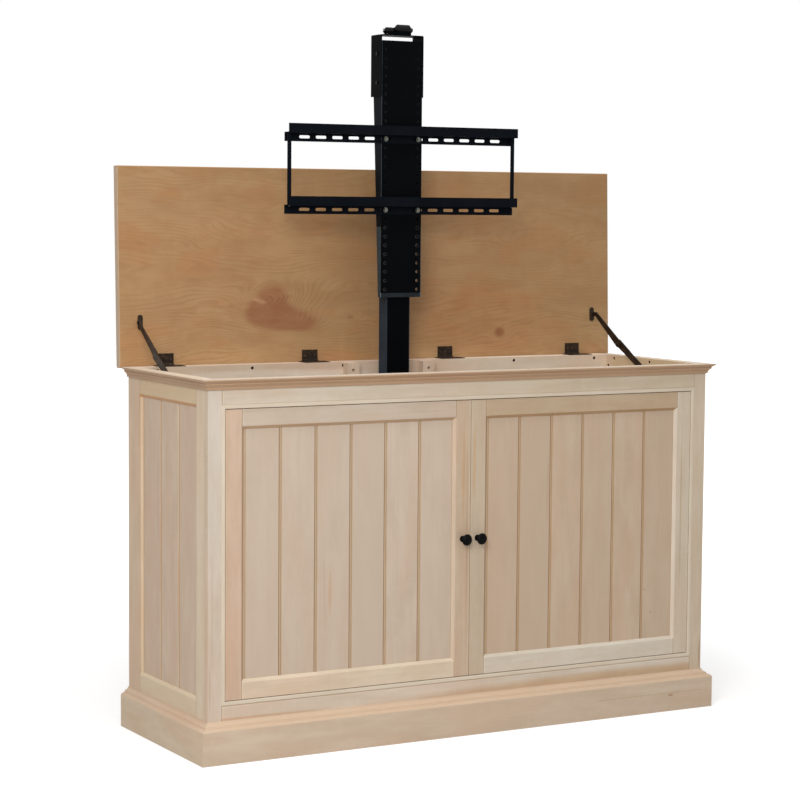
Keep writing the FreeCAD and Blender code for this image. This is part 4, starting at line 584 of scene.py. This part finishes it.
def dress_door(side, sign, outer, meeting, rails, boards, upper, lower):
    """One door's woods; sign is the side it stands on, upper and lower are the factors that tint the upper
    and the lower rail.
    """
    # Painted shade on the stiles' bevels that face away from the key light, and painted light on those that
    # face it.
    away, towards = (0.88, 0.84, 0.80), (1.04, 1.05, 1.07)
    outer_bevel, meeting_bevel = (away, towards) if sign < 0 else (towards, away)
    pitch = (OUTER_FOOT - MEETING_TOP) / DOOR_BOARD_COUNT
    start = MEETING_TOP if sign > 0 else -OUTER_FOOT
    foot, top = DOOR_BOARDS
    door = side + "_door_"
    assign(door + "outer_stile", pine(
        "pine_%s_outer" % side, "Z", outer, 10 + sign, streak=0.8,
        bands=[(outer_bevel, 0.9, ("ax", OUTER_FOOT, OUTER_TOP - 0.0002)),
               (ARRIS_HIGHLIGHT, 0.9, ("ax", DOOR_EDGE - 0.0018, DOOR_EDGE + 0.001))],
        marks=DOOR_MARKS.get(door + "outer_stile", ())))
    assign(door + "meeting_stile", pine(
        "pine_%s_meeting" % side, "Z", meeting, 20 + sign, streak=0.7,
        bands=[(meeting_bevel, 0.9, ("ax", MEETING_FOOT + 0.0002, MEETING_TOP)),
               (ARRIS_HIGHLIGHT, 0.9, ("ax", 0.0, 0.0028))],
        marks=DOOR_MARKS.get(door + "meeting_stile", ())))
    assign(door + "rails", pine(
        "pine_%s_rails" % side, "X", rails, 30 + sign,
        bands=[(upper, 1.0, ("z", top - 0.015, DOOR_TOP + PAST)),
               (lower, 1.0, ("z", DOOR_FOOT - PAST, foot + 0.013)),
               *joint("ax", OUTER_TOP, -1), *joint("ax", MEETING_FOOT, 1),
               # Painted shade on the top rail's downward bevel, and painted light on the bottom rail's
               # upward bevel.
               ((0.92, 0.84, 0.74), 0.9, ("z", top - BEVEL, top)),
               ((1.0, 1.015, 1.02), 0.9, ("z", foot, foot + BEVEL)),
               (ARRIS_HIGHLIGHT, 0.8, ("z", DOOR_TOP - 0.002, DOOR_TOP + 0.001))]))
    assign(door + "boards", pine(
        "pine_%s_boards" % side, "Z", boards, 40 + sign, boards=("x", start, pitch), rings=0.3,
        bands=[(GROOVE, 0.9, ("board", -0.001, 0.008)),
               (GROOVE, 0.8, ("board", pitch - 0.0015, pitch + 0.001)),
               ((0.82, 0.77, 0.70), 0.9, ("board", -0.001, 0.0009)),
               # painted shade in the quirk beside each bead
               ((0.86, 0.82, 0.75), 0.9, ("board", 0.0048, 0.0060))],
        marks=DOOR_MARKS.get(door + "boards", ())))


def dress_side(side, sign):
    """One side's woods; sign sets its seeds apart from the other side's."""
    low, high = SIDE_PANEL
    foot, top = SIDE_BOARDS
    start, end = low + BEVEL, high - BEVEL
    pitch = (end - start) / SIDE_BOARD_COUNT
    between = ("y", low, high)
    show_face = ("ax", SIDE_FACE - 0.0015, SIDE_FACE + PAST)
    stile_line = (0.86, 0.80, 0.74)
    assign("side_frame_" + side, pine(
        "pine_side_frame_%s" % side, "Z", (215, 192, 163), 50 + sign, crossed=("Y", on_side_rail),
        bands=[((0.977, 0.969, 0.988), 0.9, ("y", high, SIDE_BACK + PAST)),
               ((1.01, 1.04, 1.08), 0.9, ("y", SIDE_FRONT - PAST, low)),
               ((0.99, 0.984, 0.945), 0.9, between, ("z", top - 0.0005, RIM + PAST)),
               ((1.02, 1.043, 1.052), 0.9, between, ("z", 0.05, foot + BEVEL)),
               # painted shadow on the downward bevel under the top rail
               ((0.92, 0.79, 0.66), 0.9, between, ("z", top - 0.0085, top + 0.0005)),
               (stile_line, 0.9, ("y", low, low + 0.0016), show_face),
               (stile_line, 0.9, ("y", high - 0.0016, high), show_face),
               # painted light on the top face
               ((1.02, 1.06, 1.13), 0.9, ("z", RIM - 0.0008, RIM + PAST)),
               # painted shade inside the pocket holes
               (POCKET_SHADE, 1.0, *SIDE_POCKETS)],
        marks=[(SAP_SPOT, 0.8, "y", 0.133, 0.9765, 0.007, 0.004),
               (SAP_SPOT, 0.8, "y", 0.011, 0.9795, 0.007, 0.004)]))
    edge = (0.965, 0.935, 0.88)
    assign("side_boards_" + side, pine(
        "pine_side_boards_%s" % side, "Z", (205, 183, 161), 60 + sign, boards=("y", start, pitch),
        bands=[(edge, 0.9, ("board", -0.001, 0.003)), (edge, 0.9, ("board", pitch - 0.006, pitch + 0.001)),
               ((0.86, 0.81, 0.76), 0.9, ("board", -0.001, 0.0009))],
        marks=[(SIDE_STREAK, 0.7, "y", 0.0630, 0.50, 0.004, 0.12),
               (SIDE_STREAK, 0.7, "y", -0.0570, 0.44, 0.004, 0.14)]))
    assign("plinth_" + side, pine("pine_plinth_%s" % side, "Y", (211, 191, 166), 70 + sign))


def dress_trim():
    """The plinth's front, the two mouldings, and the rail at the back."""
    assign("plinth_front", pine(
        "pine_plinth_front", "X", (203, 183, 161), 80, streak=0.8,
        bands=[((0.93, 0.88, 0.82), 0.7, ("x", 0.42, 0.78), ("z", 0.0530, 0.0548))],
        marks=[((0.85, 0.72, 0.62), 0.8, "x", 0.672, 0.047, 0.012, 0.004)]))
    assign("base_cap_moulding", pine("pine_base_cap", "X", (209, 184, 158), 81, crossed=("Y", mitred)))
    # Painted light and shade on each step of the crown's profile: (shade, how far below the rim its foot
    # lies, and its top).
    steps = ((1.08, 0.0065, 0.0045), (0.86, 0.0117, 0.0097), (1.05, 0.0175, 0.0125), (0.96, 0.0205, 0.0175))
    assign("crown_moulding", pine(
        "pine_crown", "X", (181, 148, 118), 82, crossed=("Y", mitred),
        bands=[((shade, shade, shade), 0.9, ("z", RIM - foot, RIM - top)) for shade, foot, top in steps]
        # painted light on the crown's top face
        + [((1.147, 1.296, 1.467), 1.0, ("z", RIM - 0.0007, RIM + PAST))]))
    assign("back_top_rail", pine(
        "pine_back_rail", "X", (206, 186, 165), 83, blush=0.5,
        bands=[((0.955, 0.945, 0.93), 0.8, ("x", -0.8, -0.45, GRADUAL)),
               ((1.10, 1.136, 1.153), 0.8, ("x", 0.3, 0.8, GRADUAL)),
               # painted light on the top face
               ((1.03, 1.04, 1.06), 0.9, ("z", RIM - 0.0008, RIM + PAST)),
               # painted shade inside the pocket holes
               (POCKET_SHADE, 1.0, *BACK_POCKETS)],
        marks=[((1.08, 1.12, 1.16), 1.0, "x", -0.40, 0.976, 0.42, 0.022)]))


def dress_woods():
    dress_face_frame()
    dress_door("left", -1, outer=(202, 175, 152), meeting=(195, 173, 149), rails=(203, 185, 164),
               boards=(200, 182, 163), upper=(0.961, 0.967, 0.98), lower=(1.05, 1.05, 1.04))
    dress_door("right", 1, outer=(204, 190, 170), meeting=(193, 174, 151), rails=(196, 178, 154),
               boards=(196, 174, 151), upper=(0.962, 0.933, 0.90), lower=(1.07, 1.115, 1.18))
    dress_side("left", -1)
    dress_side("right", 1)
    dress_trim()
    assign("inner_blocks", pine("pine_blocks", "Z", (208, 186, 164), 84, rings=1.2, blush=0.5))
    assign("floor_runner", pine("pine_runner", "Y", (200, 178, 150), 85, blush=0.5))
    assign("back_panel", plywood("ply_back", (205, 184, 152), 3.0))
    assign("bottom_panel", plywood("ply_floor", (208, 188, 158), 8.0))
    assign("lid_panel", lid_wood())


# ---------------------------------------------------------------- hardware
BLACK = (5, 6, 8)
KNOB_BLACK = (4, 4, 4)
BAR_BLACK = (11, 14, 19)
DARK_BRONZE = (38, 29, 21)
ZINC_LIGHT, ZINC_DARK = (118, 117, 110), (84, 84, 80)
HINGE_PLACES = (0.682, 0.2273)              # |x| of the lid's hinges
HINGE_SCREWS = (-0.016, 0.0, 0.016)
HINGE_SCREW_LEVEL = ("z", 1.0262, 1.0302)
SCREW_RADIUS = 0.0022
HEAD_SCREW_LEVEL = ("z", 1.70, 1.95)        # the lift's bolts are zinc below it and black in it
SHEEN_TOP = 1.40                            # below it the plate's flanges catch more light
# The bright line beside the plate's left edge is a painted highlight.
EDGE_LINE_FOOT = 1.45                       # above it a bright line runs beside the plate's left edge


def dress_hardware():
    """Metals and plastics: a node takes its own material if it has one, and else its slot's."""
    # Painted sheen on the column's side faces.
    column_side_sheen = [((3.86, 4.06, 4.13), 1.0, ("ax", COLUMN_SIDE - 0.0015, COLUMN_SIDE + 0.001))]
    flange = ("ax", PLATE_SIDE - 0.0012, PLATE_SIDE + 0.001)
    top = PLATE_TOP + PAST
    hem = ("z", PLATE_FOOT - PAST, PLATE_FOOT + 0.012)
    # Painted highlights on the plate's flanges and a bright line beside its left edge; the hem along its
    # foot is painted lighter.
    plate = [((4.4, 4.6, 4.3), 1.0, flange, ("z", PLATE_FOOT - PAST, SHEEN_TOP)),
             ((1.9, 1.9, 1.8), 1.0, flange, ("z", SHEEN_TOP, top)),
             ((3.2, 3.2, 3.0), 1.0, ("ax", 0.0, PLATE_SIDE - 0.0012), hem),
             ((4.0, 4.0, 4.0), 0.8, ("x", 0.0010 - PLATE_SIDE, 0.0020 - PLATE_SIDE),
              ("z", EDGE_LINE_FOOT, top))]
    # Painted shade on the head's side faces.
    head = [((0.55, 0.55, 0.55), 1.0, ("ax", HEAD_SIDE - 0.001, HEAD_SIDE + 0.0055))]
    places = [hinge + offset for hinge in HINGE_PLACES for offset in HINGE_SCREWS]
    screws = [((1.55, 1.6, 1.6), 0.9, ("ax", x - SCREW_RADIUS, x + SCREW_RADIUS), HINGE_SCREW_LEVEL)
              for x in places]
    black_heads = [((0.16, 0.15, 0.15), 1.0, HEAD_SCREW_LEVEL)]
    bar_coat = powder_coat("bar_coat", BAR_BLACK)
    knob = powder_coat("knob_black", KNOB_BLACK, gloss=0.06)
    own = {"lift_middle_column": powder_coat("column_coat", BLACK, bands=column_side_sheen),
           "lift_mount_plate": powder_coat("plate_coat", BLACK, bands=plate),
           "lift_head": powder_coat("head_coat", BLACK, bands=head),
           "tv_bar_lower": bar_coat, "tv_bar_upper": bar_coat, "tv_bar_straps": bar_coat,
           "lid_hinge_leaves": bronze("leaf_bronze", DARK_BRONZE, bands=screws),
           "lift_bolts": zinc("bolt_zinc", ZINC_LIGHT, ZINC_DARK, bands=black_heads),
           "left_door_knob": knob, "right_door_knob": knob}
    slots = {"bronze": bronze("bronze", DARK_BRONZE), "black_metal": powder_coat("powder_coat", BLACK),
             "zinc": zinc("zinc", ZINC_LIGHT, ZINC_DARK),
             "nylon": moulded("nylon", (222, 220, 210), 0.35, 0.5),
             "black_plastic": moulded("black_plastic", (10, 10, 11), 0.4, 0.6, gloss=0.12),
             "brown_plastic": moulded("brown_plastic", (70, 52, 38), 0.4, 0.55)}
    for row in frame["record"]["subparts"]:
        node, slot = row["node"], row["material_slot"]
        if node in own:
            assign(node, own[node])
        elif slot in slots:
            assign(node, slots[slot])


# ---------------------------------------------------------------- small fittings
TURNED_SIDES = 20
DOME = ((0.0, 0.0), (0.0, 1.0), (0.25, 0.98), (0.6, 0.80), (0.85, 0.52), (0.97, 0.22), (1.0, 0.0))
ELBOW_RADIUS = 0.012                        # half the stay arms' width at the elbow
STRAP_HALF_WIDTH = 0.0055
LEDGE = 0.003                               # thickness of the bars' ledges, which hold the straps' ends
PLATE_HOLE_X = 0.0532
PLATE_HOLE_RISE = 0.0225                    # the lowest hole above the plate's foot
PLATE_HOLE_PITCH = 0.0254
RIMMED_ROWS = 8
HOLE_RIM = ((0.0, 0.0041), (0.0, 0.0052), (0.0004, 0.0050), (0.0004, 0.0042), (0.0, 0.0041))


def turned(shape, rings, centre, axis):
    """Adds a turned form to a bmesh; its rings, (distance along the axis, radius), run from end to end."""
    turn = Vector((0.0, 0.0, 1.0)).rotation_difference(Vector(axis)).to_matrix()
    rows = []
    for along, radius in rings:
        angles = [2 * math.pi * i / TURNED_SIDES for i in range(TURNED_SIDES if radius else 1)]
        rows.append([shape.verts.new(Vector(centre) + turn @ Vector(
            (radius * math.cos(angle), radius * math.sin(angle), along))) for angle in angles])
    for first, second in zip(rows, rows[1:]):
        for i in range(TURNED_SIDES):
            j = (i + 1) % TURNED_SIDES
            corners = [first[i % len(first)], first[j % len(first)],
                       second[j % len(second)], second[i % len(second)]]
            unique = list(dict.fromkeys(corners))
            if len(unique) > 2:
                shape.faces.new(unique)


def dome(shape, centre, axis, radius, height):
    """Adds a screw's or rivet's head."""
    turned(shape, [(along * height, wide * radius) for along, wide in DOME], centre, axis)


def piece(name, shape, body, material):
    """Makes a piece of a bmesh, in world coordinates, that rides on a body."""
    bmesh.ops.recalc_face_normals(shape, faces=shape.faces)
    for face in shape.faces:
        face.smooth = True
    mesh = bpy.data.meshes.new(name)
    shape.to_mesh(mesh)
    shape.free()
    mesh.materials.append(material)
    new = bpy.data.objects.new(name, mesh)
    bpy.context.scene.collection.objects.link(new)
    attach(new, body)


def add_elbow_rivets():
    """The rivets' heads on the inner faces of the stays' upper arms."""
    dark = bronze("rivet_bronze", (46, 36, 27))
    for side, sign in (("left", -1), ("right", 1)):
        low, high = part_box(side + "_stay_upper_arm")
        inner_face = low.x if sign > 0 else high.x
        elbow = (inner_face, low.y + ELBOW_RADIUS, low.z + ELBOW_RADIUS)
        shape = bmesh.new()
        dome(shape, elbow, (-sign, 0.0, 0.0), radius=0.0046, height=0.0016)
        piece(side + "_stay_elbow_rivet", shape, side + "_upper_arm", dark)


def add_strap_screws(bright):
    """Screws that hold the straps' ends, through the lower bar from below and the upper bar from above."""
    low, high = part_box("tv_bar_straps")
    shape = bmesh.new()
    for x in (low.x + STRAP_HALF_WIDTH, high.x - STRAP_HALF_WIDTH):
        for z, way in ((low.z - LEDGE, -1.0), (high.z + LEDGE, 1.0)):
            dome(shape, (x, (low.y + high.y) / 2, z), (0.0, 0.0, way), radius=0.0036, height=0.0020)
    piece("strap_screws", shape, "lift_carriage", bright)


def add_hole_rims():
    """Lighter rims around the channel plate's lower holes: worn edges and a painted highlight."""
    front = span("lift_mount_plate", "y")[0]
    shape = bmesh.new()
    for row in range(RIMMED_ROWS):
        for x in (-PLATE_HOLE_X, PLATE_HOLE_X):
            place = (x, front, PLATE_FOOT + PLATE_HOLE_RISE + row * PLATE_HOLE_PITCH)
            turned(shape, HOLE_RIM, place, (0.0, -1.0, 0.0))
    bmesh.ops.remove_doubles(shape, verts=shape.verts, dist=1e-6)
    worn_and_lit = powder_coat("rim_wear_and_highlight", (40, 41, 43), gloss=0.2)
    piece("plate_hole_rims", shape, "lift_carriage", worn_and_lit)


def add_axle_head(bright):
    """The end of the rollers' axle on the bracket's left ear."""
    low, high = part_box("lid_small_roller")
    middle = (low + high) / 2
    ear = (span("lid_roller_bracket", "x")[0], middle.y, middle.z)
    shape = bmesh.new()
    dome(shape, ear, (-1.0, 0.0, 0.0), radius=0.0034, height=0.0012)
    piece("roller_axle_head", shape, "lift_carriage", bright)


def add_fittings():
    """The small metal parts that the CAD leaves out."""
    bright = zinc("screw_zinc", (176, 176, 170), (120, 120, 116))
    add_elbow_rivets()
    add_strap_screws(bright)
    add_hole_rims()
    add_axle_head(bright)


# ---------------------------------------------------------------- surroundings
WORLD_LIGHT = 0.45                          # the white world's strength as light; it shows at full strength
FLOOR_HALF = 14.0
FLOOR_DROP = 0.0005
FLOOR_GREY = 0.62
FLOOR_GLOW = (1.1, 3.2, 0.52, 1.0)          # two distances in metres, and how strongly it glows there


def light_area(name, place, target, size, power):
    """A round lamp that shines at a target."""
    data = bpy.data.lights.new(name, "AREA")
    data.shape = "DISK"
    data.size = size
    data.energy = power
    lamp = bpy.data.objects.new(name, data)
    lamp.location = place
    lamp.rotation_euler = (Vector(target) - Vector(place)).to_track_quat("-Z", "Y").to_euler()
    bpy.context.scene.collection.objects.link(lamp)


def seen_as_white(tree):
    """1 for camera, glossy and transmission rays."""
    path = tree.nodes.new("ShaderNodeLightPath")
    total = path.outputs["Is Camera Ray"]
    for name in ("Is Glossy Ray", "Is Transmission Ray"):
        node = tree.nodes.new("ShaderNodeMath")
        node.operation = "MAXIMUM"
        tree.links.new(total, node.inputs[0])
        tree.links.new(path.outputs[name], node.inputs[1])
        total = node.outputs[0]
    return total


def make_world():
    """A white world that lights the scene less strongly than it shows."""
    world = bpy.data.worlds.new("studio")
    bpy.context.scene.world = world
    world.use_nodes = True
    tree = world.node_tree
    background = next(n for n in tree.nodes if n.type == "BACKGROUND")
    background.inputs["Color"].default_value = (1.0, 1.0, 1.0, 1.0)
    ramp = tree.nodes.new("ShaderNodeMapRange")
    ramp.inputs["To Min"].default_value = WORLD_LIGHT
    ramp.inputs["To Max"].default_value = 1.0
    tree.links.new(seen_as_white(tree), ramp.inputs["Value"])
    tree.links.new(ramp.outputs[0], background.inputs["Strength"])


def make_floor():
    """A pale floor that fades into the white background."""
    mesh = bpy.data.meshes.new("floor")
    shape = bmesh.new()
    bmesh.ops.create_grid(shape, x_segments=1, y_segments=1, size=FLOOR_HALF)
    shape.to_mesh(mesh)
    shape.free()
    floor = bpy.data.objects.new("floor", mesh)
    floor.location = (0.0, 0.0, -FLOOR_DROP)
    bpy.context.scene.collection.objects.link(floor)
    g = Graph("studio_floor")
    tree = g.tree
    tree.nodes.remove(g.shader)
    distance = g.math("SQRT", g.plus(g.times(g.x, g.x), g.times(g.y, g.y)))
    diffuse = tree.nodes.new("ShaderNodeBsdfDiffuse")
    diffuse.inputs["Color"].default_value = (FLOOR_GREY, FLOOR_GREY, FLOOR_GREY, 1.0)
    glow = tree.nodes.new("ShaderNodeEmission")
    glow.inputs["Color"].default_value = (1.0, 1.0, 1.0, 1.0)
    g.put(glow.inputs["Strength"], g.times(seen_as_white(tree), g.smooth(distance, *FLOOR_GLOW)))
    both = tree.nodes.new("ShaderNodeAddShader")
    tree.links.new(diffuse.outputs[0], both.inputs[0])
    tree.links.new(glow.outputs[0], both.inputs[1])
    tree.links.new(both.outputs[0], g.output.inputs["Surface"])
    mesh.materials.append(g.material)


dress_woods()
dress_hardware()
add_fittings()
make_world()
make_floor()
light_area("key", place=(-2.45, -3.1, 2.5), target=(-0.2, 0.0, 0.7), size=1.8, power=86.0)
light_area("top", place=(-0.4, -0.8, 5.0), target=(0.0, 0.0, 0.8), size=3.0, power=100.0)
bpy.context.scene.view_settings.view_transform = "Standard"
